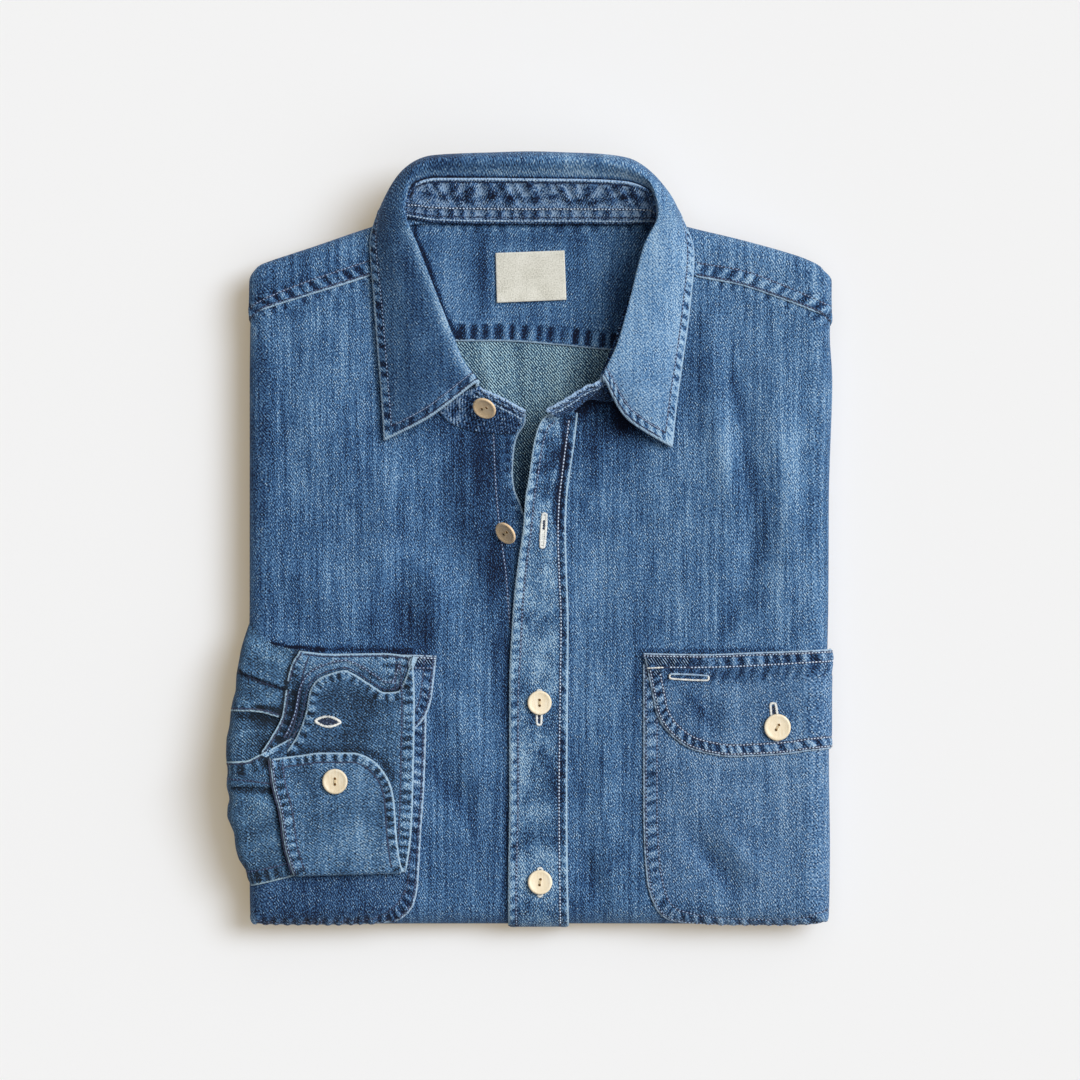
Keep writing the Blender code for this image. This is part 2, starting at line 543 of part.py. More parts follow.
def layers():
    """Back, folded-up lower half and the other sleeve: one rounded solid,
    layered at its edges, with its top under the fronts and the neck well."""
    nu, nv = 10, 13
    open_z = 15.0

    def lowered(x, y, z, least=0.0):
        # down under the inner yoke in the neck well
        rise = least + (1 - least) * float(smooth((well_distance(x, y) - 4.0) / 24.0))
        return min(z, open_z) + max(z - open_z, 0) * rise

    def outline(fu, fv, d, d_bottom):
        # fu, fv in -1..1 over the packet; d and d_bottom are insets in mm
        v_top = float(curve(SHOULDER, np.clip(GRID_U0 + 1.0 * fu * 290, 250, 829)))
        v = v_top + 6 + (BOTTOM_V - v_top - 6) * (fv + 1) / 2
        left, right = float(curve(SIDES, v, 1)), float(curve(SIDES, v, 2))
        u = (left + right) / 2 + (right - left) / 2 * fu
        x, y = float(gx(u)), float(gy(v))
        # soft corners, then the inset towards the middle of the packet
        round_off = 9.0 * (abs(fu) * abs(fv)) ** 8
        x -= math.copysign((d + round_off) * abs(fu) ** 3, fu)
        y += ((d_bottom if fv > 0 else d) + round_off) * fv ** 3
        return x, y

    def ring_height(fu, fv, z):
        # rings follow the packet's height, less towards the buttons
        x, y = outline(fu, fv, 12.0, 14.0)
        full = float(height(x / STEP + GRID_U0, GRID_V0 - y / STEP))
        x, y = outline(fu, fv, 9.0, 9.0)
        return lowered(x, y, z * full / (MIDDLE_HEIGHT + SIDE_RISE), 0.15)

    bm = bmesh.new()
    bmesh.ops.create_grid(bm, x_segments=nu, y_segments=nv, size=1.0)
    where = {}
    for vert in bm.verts:
        fu, fv = vert.co.x, -vert.co.y
        where[vert] = (fu, fv)
        x, y = outline(fu, fv, *LAYER_EDGES[-1][:2])
        u, v = x / STEP + GRID_U0, GRID_V0 - y / STEP
        full = float(height(u, v)) - WALL - 0.9
        edge = max(abs(fu), abs(fv))
        rim = ring_height(fu, fv, LAYER_EDGES[-1][2])
        z = lowered(x, y, full)
        z += (rim - z) * float(smooth((edge - 0.85) / 0.15))
        vert.co = (x * MM, y * MM, z * MM)
    edges = [e for e in bm.edges if e.is_boundary]
    for d, d_bottom, z in reversed(LAYER_EDGES[:-1]):
        ring = bmesh.ops.extrude_edge_only(bm, edges=edges)["geom"]
        new_verts = [g for g in ring if isinstance(g, bmesh.types.BMVert)]
        new_edges = [g for g in ring if isinstance(g, bmesh.types.BMEdge)
                     and all(w in new_verts for w in g.verts)]
        for vert in new_verts:
            old = next(o for e in vert.link_edges for o in e.verts
                       if o is not vert and o in where and o not in new_verts)
            where[vert] = where[old]
            x, y = outline(*where[vert], d, d_bottom)
            vert.co = (x * MM, y * MM, ring_height(*where[vert], z) * MM)
        edges = new_edges
    bmesh.ops.contextual_create(bm, geom=edges)
    bmesh.ops.recalc_face_normals(bm, faces=bm.faces[:])
    return finish("folded_layers", bm, "denim")


# --------------------------------------------------------------- buttons
def button(name, place, diameter, face_x, face_y):
    """Turned two-rim disc: a profile from the axis, with a Screw modifier."""
    r, t = diameter / 2 * MM, BUTTON_T * MM
    profile = [(0, t * 0.72), (r * 0.62, t * 0.72), (r * 0.84, t), (r, t * 0.6),
               (r * 0.78, 0), (0, 0)]
    bm = bmesh.new()
    verts = [bm.verts.new((x, 0, z)) for x, z in profile]
    for a, b in zip(verts, verts[1:]):
        bm.edges.new((a, b))
    obj = finish(name, bm, "horn")
    screw = obj.modifiers.new("turn", "SCREW")
    screw.steps = screw.render_steps = 14
    screw.use_merge_vertices = True
    screw.merge_threshold = 0.00002
    obj.location = [c * MM for c in place]
    # tip the axis so that it faces (face_x, face_y) on its way up
    facing = Vector((face_x, face_y, math.sqrt(1 - face_x ** 2 - face_y ** 2)))
    obj.rotation_euler = Vector((0, 0, 1)).rotation_difference(facing).to_euler()
    return obj


def main():
    front("front_right", RIGHT_FRONT, -1)
    front("front_left", LEFT_FRONT, 1)
    yoke()
    placket()
    collar()
    inside()
    pocket("pocket_right", POCKET_L, -1)
    pocket("pocket_left", POCKET_R, 1)
    flap("flap_right", FLAP_L, -1)
    flap("flap_left", FLAP_R, 1)
    sleeve()
    sleeve_placket()
    cuff_layer("cuff_under", CUFF_UNDER,
               (872, 840, 800, 768, 753, 735, 708, 680, 652.5), 0.0, "denim")
    cuff_layer("cuff_buttonhole_end", CUFF_HOLE_END,
               (870, 835, 800, 752, 725, 700, 690, 682, 676, 672), 2.1, "denim")
    cuff_layer("cuff_button_end", CUFF_BUTTON_END,
               (873, 855, 834, 810, 788, 772, 762, 756, 752.5), 4.2, "denim")
    layers()
    for name, u, v, lift, size, face_x, face_y in BUTTONS:
        button(name, body(u, v, lift), size, face_x, face_y)
    u, v, z = COLLAR_BUTTON
    button("button_collar", (float(gx(u)), float(gy(v)), z), BUTTON_D, -0.33, -0.50)


for old in list(bpy.data.objects):
    bpy.data.objects.remove(old, do_unlink=True)
parts = bpy.data.collections.new("denim_shirt_folded")
bpy.context.scene.collection.children.link(parts)
main()
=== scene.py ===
"""Looks of the folded denim shirt: cloth, stitches, buttons, light and camera.

The cloth is laid out on the same grid as the CAD part: u across, v down, one
step is 0.56 mm, heights and lifts in millimetres.  Lines and outlines are
given as they are seen from above, and onto() carries them round the folds.
"""
import math

import bpy
import numpy as np
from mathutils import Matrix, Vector
from mathutils.geometry import delaunay_2d_cdt


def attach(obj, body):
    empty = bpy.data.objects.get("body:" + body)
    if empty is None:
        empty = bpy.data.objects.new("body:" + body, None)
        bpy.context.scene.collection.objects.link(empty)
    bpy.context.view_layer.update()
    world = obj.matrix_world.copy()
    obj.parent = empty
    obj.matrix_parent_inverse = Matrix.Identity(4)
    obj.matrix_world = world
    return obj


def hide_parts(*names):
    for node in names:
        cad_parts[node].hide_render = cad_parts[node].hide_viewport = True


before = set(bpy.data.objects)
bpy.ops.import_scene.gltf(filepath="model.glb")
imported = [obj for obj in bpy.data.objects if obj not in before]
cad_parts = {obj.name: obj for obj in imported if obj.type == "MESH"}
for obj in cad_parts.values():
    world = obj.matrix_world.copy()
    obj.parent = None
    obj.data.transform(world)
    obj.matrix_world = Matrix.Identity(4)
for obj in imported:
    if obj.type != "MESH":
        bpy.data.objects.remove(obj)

for name in ("Cube", "Light", "Camera"):        # a new file's own objects
    if name in bpy.data.objects:
        bpy.data.objects.remove(bpy.data.objects[name], do_unlink=True)
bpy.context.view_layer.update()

# ------------------------------------------------------------------ sizes
STEP = 0.56
GRID_U0, GRID_V0 = 530.0, 540.8
MM = 0.001
MIDDLE_HEIGHT, SIDE_RISE = 22.0, 3.2
ROLL_SIDE_OUT, ROLL_SIDE_UP = 12.0, 6.5
ROLL_TOP_UP = 6.0
ROLL_BOTTOM_OUT = 14.0
CORNER_POWER = 5.0
BOTTOM_V = 925.0

# lift of the face of each thing above the fronts, mm
LIFT_POCKET, LIFT_FLAP, LIFT_PLACKET = 1.45, 3.2, 1.9
LIFT_SLEEVE, LIFT_CUFF, LIFT_HOLE_END, LIFT_BUTTON_END = 4.7, 4.9, 6.9, 8.9

# outline of the packet from above:   v,  left u,  right u
SIDES = [(268, 253, 826), (280, 250, 831), (333, 249.5, 830.5), (382, 249, 833),
         (449, 249, 831), (500, 249, 829.5), (600, 249, 829), (650, 248.5, 828),
         (700, 249, 827), (760, 250, 827), (850, 251, 828), (925, 252, 827)]
SHOULDER = [(250, 268), (310, 248.5), (370, 228), (400, 219), (430, 214.5),
            (530, 212), (630, 214.5), (660, 219), (686, 227), (743, 241),
            (799, 257), (829, 269)]
YOKE_EDGE = [(250, 321), (264.5, 310), (301, 298), (370, 276), (382, 270),
             (390, 244), (402, 228), (420, 224), (530, 222.5), (642, 224),
             (660, 228), (671, 244), (679, 270), (697, 277), (738, 285),
             (782, 299.5), (816, 313), (830, 323.5)]
PLACKET = [(412, 551, 578, 12.0), (418, 544, 577.5, 11.5), (427, 538, 577, 11),
           (447, 533, 574.5, 9.5), (475, 529, 570.5, 7.5), (500, 525, 567.5, 5.5),
           (527, 523, 566.5, 3.6), (561, 518, 567, 2.2), (600, 513, 568, 1.4),
           (687, 509, 568, 0.8), (795, 509, 567.4, 0.7), (882, 508, 568, 0.7),
           (925, 508, 569, 0.6), (980, 508, 569, 0.3)]
COLLAR = [
    (452, 424, 0.7, 478, 387, 36.0, 476, 383, 40.0, 430, 417, 35.5, 384, 440, 27.6),
    (425, 392, 0.7, 461, 366, 37.0, 461, 361, 41.5, 420, 378, 37.5, 381, 396, 27.6),
    (404, 350, 0.7, 445, 328, 38.0, 446, 323, 42.5, 412, 336, 38.5, 377, 346, 27.6),
    (391, 306, 0.7, 431, 291, 39.0, 433, 288, 43.5, 403, 292, 39.5, 373, 294, 27.8),
    (386, 264, 0.7, 416, 250, 40.0, 418, 248, 44.5, 393, 246, 40.5, 369.5, 246, 27.5),
    (389, 238, 1.3, 406, 216, 40.5, 404, 210, 46.0, 386, 209, 39.0, 376, 216, 25.0),
    (404, 226, 1.3, 411, 190, 43.0, 411, 178, 47.5, 402, 173, 38.0, 399, 182, 22.0),
    (436, 222, 1.3, 437, 180, 43.0, 436, 164, 48.5, 433, 156.5, 37.0, 434, 163, 20.0),
    (485, 220.5, 1.3, 486, 180, 43.0, 486, 162, 49.0, 486, 153.8, 36.0, 486, 159, 18.5),
    (530, 220.5, 1.3, 530, 180.5, 43.0, 530, 162, 49.2, 530, 153, 36.0, 530, 158, 18.0),
    (580, 220.5, 1.3, 579, 181, 43.0, 579, 162.5, 49.0, 580, 154, 36.0, 580, 159.5, 18.5),
    (622, 222, 1.3, 623, 183, 43.0, 622, 168, 48.8, 626, 159.5, 37.0, 625, 166, 20.0),
    (654, 228, 1.3, 651, 195, 43.0, 650, 185, 48.2, 660, 182.5, 38.5, 663, 191, 22.0),
    (669, 242, 1.3, 656, 219, 40.5, 658, 214, 47.0, 675, 212, 40.0, 684, 221, 25.0),
    (674, 268, 0.7, 645, 250, 40.0, 644, 248, 45.5, 669, 252, 41.0, 694.5, 256, 27.6),
    (668, 312, 0.7, 631, 306, 40.5, 630, 303, 45.0, 660, 307, 40.5, 690, 311, 27.8),
    (655, 352, 0.7, 618, 352, 41.5, 617, 349, 46.0, 650, 358, 41.0, 683, 362, 27.8),
    (636, 388, 0.7, 608, 374, 43.0, 607, 370, 46.5, 640, 390, 41.0, 677, 405, 27.6),
    (612, 402, 0.7, 602, 382, 44.0, 604, 379, 47.0, 626, 418, 38.5, 672.5, 447, 27.6),
]
STAND_RIGHT_END = [(515, 434, 0.9, 525.5, 411, 30.5), (484, 433, 0.8, 500, 397.5, 34.5)]
STAND_LEFT_END = [(591, 400, 11.0, 585, 388.5, 45.0), (574, 411, 13.0, 568, 399, 45.0),
                  (556, 417.5, 15.0, 546, 411.5, 44.5)]

# soft troughs and ridges of the fronts:
#   places along it,  half width mm,  rise mm
CREASES = [
    ([(600, 440), (650, 520), (700, 600)], 16, -1.0),
    ([(706, 292), (711, 360), (716, 420), (730, 480), (744, 530)], 8.5, 1.9),
    ([(732, 370), (740, 430), (747, 490), (753, 550), (742, 600), (728, 640)], 7.5, -1.2),
    ([(772, 350), (776, 430), (786, 500), (788, 570), (776, 630)], 9.0, 1.6),
    ([(808, 330), (812, 420), (806, 520)], 8.0, -1.0),
    ([(640, 470), (664, 530), (690, 610)], 10, 0.7),
    ([(590, 480), (600, 560), (604, 640)], 9, -0.5),
    ([(300, 380), (360, 500), (420, 620)], 18, 1.0),
    ([(330, 520), (400, 540), (480, 560)], 14, -0.8),
    ([(395, 445), (392, 480), (384, 540), (360, 600)], 11, 1.3),
    ([(440, 470), (455, 540), (470, 620)], 11, -1.3),
    ([(404, 560), (400, 600), (404, 645)], 9, -1.6),
    ([(432, 570), (436, 610), (430, 645)], 8, 0.9),
    ([(290, 330), (285, 420), (292, 520)], 10, -0.5),
    ([(270, 560), (330, 600), (400, 636)], 9, 0.8),
    ([(600, 700), (606, 800), (612, 900)], 9, 0.7),
    ([(583, 850), (592, 880), (606, 912)], 6, -1.5),
    ([(686, 828), (712, 862), (742, 896)], 6.5, -2.0),
    ([(716, 822), (744, 856), (776, 884)], 7, 1.2),
    ([(660, 760), (700, 800), (760, 812)], 12, 0.5),
    ([(436, 764), (455, 790), (480, 822)], 6.5, -1.5),
    ([(446, 690), (470, 740), (486, 800)], 8, 0.7),
    ([(455, 600), (462, 700), (470, 880)], 12, 0.5),
    ([(700, 690), (712, 716), (716, 742)], 5, -0.7),
    ([(740, 668), (745, 700), (741, 738)], 6, -0.4),
]


def gx(u):
    return (np.asarray(u, float) - GRID_U0) * STEP


def gy(v):
    return (GRID_V0 - np.asarray(v, float)) * STEP


def smooth(t):
    t = np.clip(t, 0.0, 1.0)
    return t * t * (3.0 - 2.0 * t)


def curve(rows, t, col=1):
    """Smooth value of a table's column at t; its first column is the key."""
    rows = sorted(rows, key=lambda r: r[0])
    k = np.array([r[0] for r in rows], float)
    v = np.array([r[col] for r in rows], float)
    t = np.clip(np.asarray(t, float), k[0], k[-1])
    d = np.diff(v) / np.diff(k)
    m = np.zeros_like(v)
    m[0], m[-1] = d[0], d[-1]
    same = d[:-1] * d[1:] > 0
    total = np.where(same, d[:-1] + d[1:], 1.0)
    m[1:-1] = np.where(same, 2.0 * d[:-1] * d[1:] / total, 0.0)
    i = np.clip(np.searchsorted(k, t, side="right") - 1, 0, len(k) - 2)
    h = k[i + 1] - k[i]
    s = (t - k[i]) / h
    return ((2 * s**3 - 3 * s**2 + 1) * v[i] + (s**3 - 2 * s**2 + s) * h * m[i]
            + (3 * s**2 - 2 * s**3) * v[i + 1] + (s**3 - s**2) * h * m[i + 1])


def crease(u, v, places, half, rise):
    """A soft trough or ridge along a few places, dying out at its ends."""
    p = np.array(places, float) * STEP
    x, y = np.asarray(u, float) * STEP, np.asarray(v, float) * STEP
    seg = np.diff(p, axis=0)
    length = np.hypot(seg[:, 0], seg[:, 1])
    start = np.concatenate([[0], np.cumsum(length)])
    best = np.full(np.shape(x), 1e9)
    at = np.zeros(np.shape(x))
    for k in range(len(seg)):
        f = ((x - p[k, 0]) * seg[k, 0] + (y - p[k, 1]) * seg[k, 1]) / length[k] ** 2
        f = np.clip(f, 0, 1)
        d = np.hypot(x - p[k, 0] - f * seg[k, 0], y - p[k, 1] - f * seg[k, 1])
        closer = d < best
        best = np.where(closer, d, best)
        at = np.where(closer, (start[k] + f * length[k]) / start[-1], at)
    fade = np.sin(np.pi * np.clip(at, 0, 1)) ** 0.7
    return rise * np.exp(-(best / half) ** 2) * fade


def height(u, v):
    """Top of the folded packet in mm, before it turns down at its folds."""
    z = MIDDLE_HEIGHT + SIDE_RISE * smooth((np.abs(gx(u)) - 25.0) / 95.0)
    for places, half, rise in CREASES:
        z = z + crease(u, v, places, half, rise * 1.45)
    return z


ROLL_U, ROLL_B = ROLL_SIDE_OUT / STEP, ROLL_BOTTOM_OUT / STEP
QUARTER_U, QUARTER_B = ROLL_U * 1.24, ROLL_B * 1.46


def body(u, v, lift=0.0):
    """Point on the packet in mm: u, v on the flat cloth, lift off its face.
    Past a fold, u or v goes on along the cloth as it turns under."""
    u, v, lift = np.broadcast_arrays(np.asarray(u, float), np.asarray(v, float),
                                     np.asarray(lift, float))
    left, right = curve(SIDES, v, 1), curve(SIDES, v, 2)
    top = curve(SHOULDER, u)
    edge_v = curve(YOKE_EDGE, u)
    roll_top = np.minimum(10.0 / STEP, (edge_v - top) * 0.8)
    quarter_t = roll_top * 1.3
    over_l, over_r = (left + ROLL_U) - u, u - (right - ROLL_U)
    over_t, over_b = (top + roll_top) - v, v - (BOTTOM_V - ROLL_B)
    eu = np.maximum(np.maximum(over_l, over_r), 0) / QUARTER_U
    ev = np.where(over_b > 0, over_b / QUARTER_B, np.maximum(over_t, 0) / quarter_t)
    su = np.where(over_l > 0, -1.0, 1.0)
    sv = np.where(over_b > 0, 1.0, -1.0)
    turn = np.maximum(eu, ev)
    norm = np.maximum((eu ** CORNER_POWER + ev ** CORNER_POWER) ** (1 / CORNER_POWER), 1e-9)
    du, dv = eu / norm, ev / norm
    ang = np.minimum(turn, 1.95) * math.pi / 2
    bu = np.clip(u, left + ROLL_U, right - ROLL_U)
    bv = np.clip(v, top + roll_top, BOTTOM_V - ROLL_B)
    h = height(bu, bv)
    up_v = np.where(over_b > 0, (h - 1.2) / 2, ROLL_TOP_UP)
    total = np.maximum(du ** 2 + dv ** 2, 1e-9)
    up = np.where(turn > 0, (ROLL_SIDE_UP * du ** 2 + up_v * dv ** 2) / total, 0)
    out_v = np.where(over_b > 0, ROLL_BOTTOM_OUT, roll_top * STEP)
    x = gx(bu) + su * du * (ROLL_SIDE_OUT * np.sin(ang) + lift * np.sin(ang))
    y = gy(bv) - sv * dv * (out_v * np.sin(ang) + lift * np.sin(ang))
    z = h - up * (1 - np.cos(ang)) + lift * np.cos(ang)
    return np.stack([x, y, z], -1)


# ------------------------------------------------------- lines on the cloth
def smooth_line(places, step=1.0):
    """Even places along the smooth line through a table of places."""
    p = np.array(places, float)
    k = np.concatenate([[0], np.cumsum(np.hypot(*np.diff(p, axis=0).T))])
    n = max(2, int(round(k[-1] * STEP / step)) + 1)
    if len(p) > 2:
        t = np.linspace(0, k[-1], n * 4)
        p = np.stack([curve(list(zip(k, p[:, c])), t) for c in (0, 1)], -1)
        k = np.concatenate([[0], np.cumsum(np.hypot(*np.diff(p, axis=0).T))])
    t = np.linspace(0, k[-1], n)
    return np.stack([np.interp(t, k, p[:, c]) for c in (0, 1)], -1)


def onto(places):
    """Places seen from above, carried onto the cloth round the side folds and
    the bottom fold."""
    p = np.array(places, float)
    u, v = p[:, 0].copy(), p[:, 1].copy()
    left, right = curve(SIDES, v, 1) + ROLL_U, curve(SIDES, v, 2) - ROLL_U
    over = np.clip((left - u) / ROLL_U, 0, 1)
    u = np.where(over > 0, left - QUARTER_U * np.arcsin(over) * 2 / np.pi, u)
    over = np.clip((u - right) / ROLL_U, 0, 1)
    u = np.where((over > 0) & (p[:, 0] > right), right + QUARTER_U * np.arcsin(over) * 2 / np.pi, u)
    low = BOTTOM_V - ROLL_B
    over = np.clip((v - low) / ROLL_B, 0, 1)
    v = np.where(over > 0, low + QUARTER_B * np.arcsin(over) * 2 / np.pi, v)
    return np.stack([u, v], -1)


def respaced(line, step=1.0):
    k = np.concatenate([[0], np.cumsum(np.hypot(*np.diff(line, axis=0).T))])
    n = max(2, int(round(k[-1] * STEP / step)) + 1)
    t = np.linspace(0, k[-1], n)
    return np.stack([np.interp(t, k, line[:, c]) for c in (0, 1)], -1)


def seen(places, step=1.0):
    """A measured line: smoothed as seen from above, then carried onto the cloth."""
    return respaced(onto(smooth_line(places, step * 0.7)), step)


def chain(*lines):
    """One closed outline from lines laid end to end."""
    out = []
    for line in lines:
        line = np.asarray(line, float)
        if out:
            gap = np.hypot(*(line[0] - out[-1][-1])) * STEP
            if gap < 0.4:
                line = line[1:]
            elif gap > 1.6:
                out.append(smooth_line([out[-1][-1], line[0]])[1:-1])
        out.append(line)
    pts = np.concatenate([o for o in out if len(o)])
    gap = np.hypot(*(pts[0] - pts[-1])) * STEP
    if gap < 0.4:
        pts = pts[:-1]
    elif gap > 1.6:
        pts = np.concatenate([pts, smooth_line([pts[-1], pts[0]])[1:-1]])
    return pts


def beside(line, offset):
    """The line moved sideways by offset mm, to the right of its direction on
    the grid when offset is positive."""
    t = np.gradient(line, axis=0)
    t /= np.maximum(np.hypot(t[:, 0], t[:, 1]), 1e-9)[:, None]
    return line + np.stack([-t[:, 1], t[:, 0]], -1) * (offset / STEP)


def along(line, uv, reach=16.0):
    """Distance in mm and length along in mm of every place from a line."""
    p = uv * STEP
    dist, arc = np.full(len(uv), 99.0), np.zeros(len(uv))
    a, b = line[:-1] * STEP, line[1:] * STEP
    e = b - a
    l2 = np.maximum((e ** 2).sum(1), 1e-12)
    seg = np.sqrt(l2)
    start = np.concatenate([[0], np.cumsum(seg)[:-1]])
    lo, hi = line.min(0) * STEP - reach, line.max(0) * STEP + reach
    idx = np.flatnonzero(((p > lo) & (p < hi)).all(1))
    for i in range(0, len(idx), 3000):
        q = idx[i:i + 3000]
        w = p[q][:, None, :] - a
        f = np.clip((w * e).sum(2) / l2, 0, 1)
        d = ((w - f[..., None] * e) ** 2).sum(2)
        k = d.argmin(1)
        r = np.arange(len(q))
        dist[q] = np.sqrt(d[r, k])
        arc[q] = start[k] + f[r, k] * seg[k]
    return dist, arc


def ripple(s, seed, pitch):
    """Uneven pucker along a seam, from -1 dark and low to 1 pale and high."""
    rng = np.random.default_rng(seed)
    n = int(max(float(np.max(s, initial=0)), 1) / pitch) + 12
    where = np.cumsum(rng.uniform(0.62, 1.38, n) * pitch) - 3 * pitch
    value = np.where(np.arange(n) % 2, 1.0, -1.0) * rng.uniform(0.3, 1.0, n)
    value += rng.uniform(-0.25, 0.25, n)
    return np.tanh(2.0 * np.interp(s, where, value))


def wander(s, seed, pitch):
    """Slow uneven drift along a line, about -1 to 1."""
    rng = np.random.default_rng(seed)
    n = int(max(float(np.max(s, initial=0)), 1) / pitch) + 8
    where = np.arange(n) * pitch - 2 * pitch
    value = rng.uniform(-1, 1, n)
    k = np.clip((s - where[0]) / pitch, 0, n - 1.001)
    i = k.astype(int)
    f = smooth(k - i)
    return value[i] * (1 - f) + value[i + 1] * f


# ------------------------------------------------------------ cloth meshes
def patches(uv, rows):
    """Soft patches of fading and of painted light and shade: u, v, half sizes, turn, amount."""
    out = np.zeros(len(uv))
    for u0, v0, ru, rv, turn, amount in rows:
        c, s = math.cos(math.radians(turn)), math.sin(math.radians(turn))
        du, dv = uv[:, 0] - u0, uv[:, 1] - v0
        a, b = (du * c + dv * s) / ru, (-du * s + dv * c) / rv
        out += amount * np.exp(-(a * a + b * b))
    return out


class Cloth:
    """One cut piece: where it lies, what is sewn on it and how it is worn.

    seams rows:    line, inner mm, outer mm, seed, pitch mm, fade, rise mm
    stitches rows: line, kind of sewing
    strokes rows:  line, half width mm, tone (dark for painted shade, pale for painted highlight), rise mm
    """

    def __init__(self, name, surf, lift, thick, outline, worn=(), seams=(), stitches=(),
                 fades=(), shape=None, grain=0.0, fine=1.15, coarse=None, drop=0.45, tuck=2.6,
                 painted_light_strokes=()):
        self.painted_light_strokes = painted_light_strokes
        self.name, self.surf, self.lift, self.thick = name, surf, lift, thick
        self.outline, self.worn, self.seams, self.stitches = outline, worn, seams, stitches
        self.fades, self.shape, self.grain = fades, shape, grain
        self.fine, self.coarse, self.drop, self.tuck = fine, coarse or fine, drop, tuck
        self.ring = np.concatenate([outline, outline[:1]])

    def fields(self, uv):
        """Lift in mm, tone of fading and painted light and shade, distance to a worn edge and to a stitch line."""
        d, s = along(self.ring, uv, 6.0)
        lift = np.full(len(uv), float(self.lift))
        lift -= self.thick * self.drop * np.exp(-(d / (0.55 * self.thick)) ** 2)
        tone = patches(uv, self.fades)
        if self.surf in (body, placket_surf):
            # painted light: pieces on the packet's face lighter towards the right and the top, where the light comes
            # from
            tone += 0.062 * np.clip((uv[:, 0] - 540) / 290, -1, 1)
            tone += 0.035 * np.clip((600 - uv[:, 1]) / 320, -1, 1)
        edge, groove = np.full(len(uv), 99.0), np.full(len(uv), 99.0)
        for line in self.worn:
            edge = np.minimum(edge, along(line, uv)[0])
        for line, inner, outer, seed, pitch, fade, rise, *lean in self.seams:
            d, s = along(line, uv, outer + 3)
            band = smooth((d - inner) / 0.8 + 0.5) * smooth((outer - d) / 1.0 + 0.5)
            r = ripple(s + (lean[0] if lean else 0.0) * d, seed, 0.75 * pitch) * band
            tone += fade * np.where(r < 0, 1.55 * r, r)
            lift += rise * r
        for row in self.stitches:
            d, s = along(row[0], uv, 5.0)
            groove = np.minimum(groove, d)
            lift -= 0.26 * np.exp(-(d / 1.0) ** 2)
        for line, half, fade, rise in self.painted_light_strokes:
            d, s = along(line, uv, 3 * half)
            k = np.exp(-(d / half) ** 2)
            tone += fade * k
            lift += rise * k
        if self.shape is not None:
            more, shade = self.shape(uv)
            lift += more
            tone += shade
        return lift, tone, edge, groove

    def points(self, uv, extra=0.0):
        lift = self.fields(uv)[0]
        return self.surf(uv[:, 0], uv[:, 1], lift + extra)

    def area(self):
        p = self.outline * STEP * MM
        x, y = p[:, 0], p[:, 1]
        return abs(float(np.dot(x, np.roll(y, -1)) - np.dot(y, np.roll(x, -1)))) / 2

    def flat(self):
        """Width and length of the smallest box that the cut fits in."""
        best = None
        for turn in range(0, 90, 3):
            c, s = math.cos(math.radians(turn)), math.sin(math.radians(turn))
            p = self.outline @ np.array([[c, -s], [s, c]])
            span = (p.max(0) - p.min(0)) * STEP * MM
            if best is None or span[0] * span[1] < best[0] * best[1]:
                best = (float(span[0]), float(span[1]))
        return best

    def build(self, material):
        edge_pts = self.outline
        t = np.roll(edge_pts, -1, 0) - np.roll(edge_pts, 1, 0)
        t /= np.maximum(np.hypot(t[:, 0], t[:, 1]), 1e-9)[:, None]
        x, y = edge_pts[:, 0], edge_pts[:, 1]
        turn = np.dot(x, np.roll(y, -1)) - np.dot(y, np.roll(x, -1))
        inward = np.stack([-t[:, 1], t[:, 0]], -1) * (1.0 if turn > 0 else -1.0)
        pts = [edge_pts]
        last = 0.0
        for k, off in enumerate((0.45, 1.0, 1.8)):
            ring = edge_pts + inward * (off / STEP)
            if k:
                ring = ring[::1 if self.fine < 1.3 else 2]
            d, _ = along(self.ring, ring, 6.0)
            pts.append(ring[d > off * 0.94])
            last = off
        # staggered rows of places inside, denser near the outline
        for size, near, far in ((self.fine, last + 0.4 * self.fine, 9.0 if self.coarse > self.fine else 1e9),
                                (self.coarse, 9.0, 1e9)):
            if size == self.coarse and self.coarse <= self.fine and near == 9.0:
                break
            g = size / STEP
            lo, hi = edge_pts.min(0), edge_pts.max(0)
            rows = np.arange(lo[1], hi[1], g * 0.866)
            cols = np.arange(lo[0], hi[0] + g, g)
            uu = cols[None, :] + (np.arange(len(rows)) % 2)[:, None] * g / 2
            vv = np.broadcast_to(rows[:, None], uu.shape)
            inside = np.stack([uu.ravel(), vv.ravel()], -1)
            inside = inside[within(edge_pts, inside)]
            d, _ = along(self.ring, inside, 10.0)
            pts.append(inside[(d > near) & (d <= far)])
        pts = np.concatenate(pts)
        n = len(edge_pts)
        loop = [(i, (i + 1) % n) for i in range(n)]
        verts, _, faces, origin, _, _ = delaunay_2d_cdt(
            [Vector(p) for p in pts], loop, [], 1, 1e-5)
        uv = np.array([tuple(w) for w in verts])
        where = {}
        for new, old in enumerate(origin):
            for o in old:
                where[o] = new
        border = [where[i] for i in range(n)]
        tris = np.array([f for f in faces if len(f) == 3])
        a, b, c = uv[tris[:, 0]], uv[tris[:, 1]], uv[tris[:, 2]]
        area = (b[:, 0] - a[:, 0]) * (c[:, 1] - a[:, 1]) - (b[:, 1] - a[:, 1]) * (c[:, 0] - a[:, 0])
        flip = area > 0                     # v runs down, so up faces turn the other way
        tris[flip] = tris[flip][:, ::-1]
        lift, tone, edge, groove = self.fields(uv)
        co = self.surf(uv[:, 0], uv[:, 1], lift)
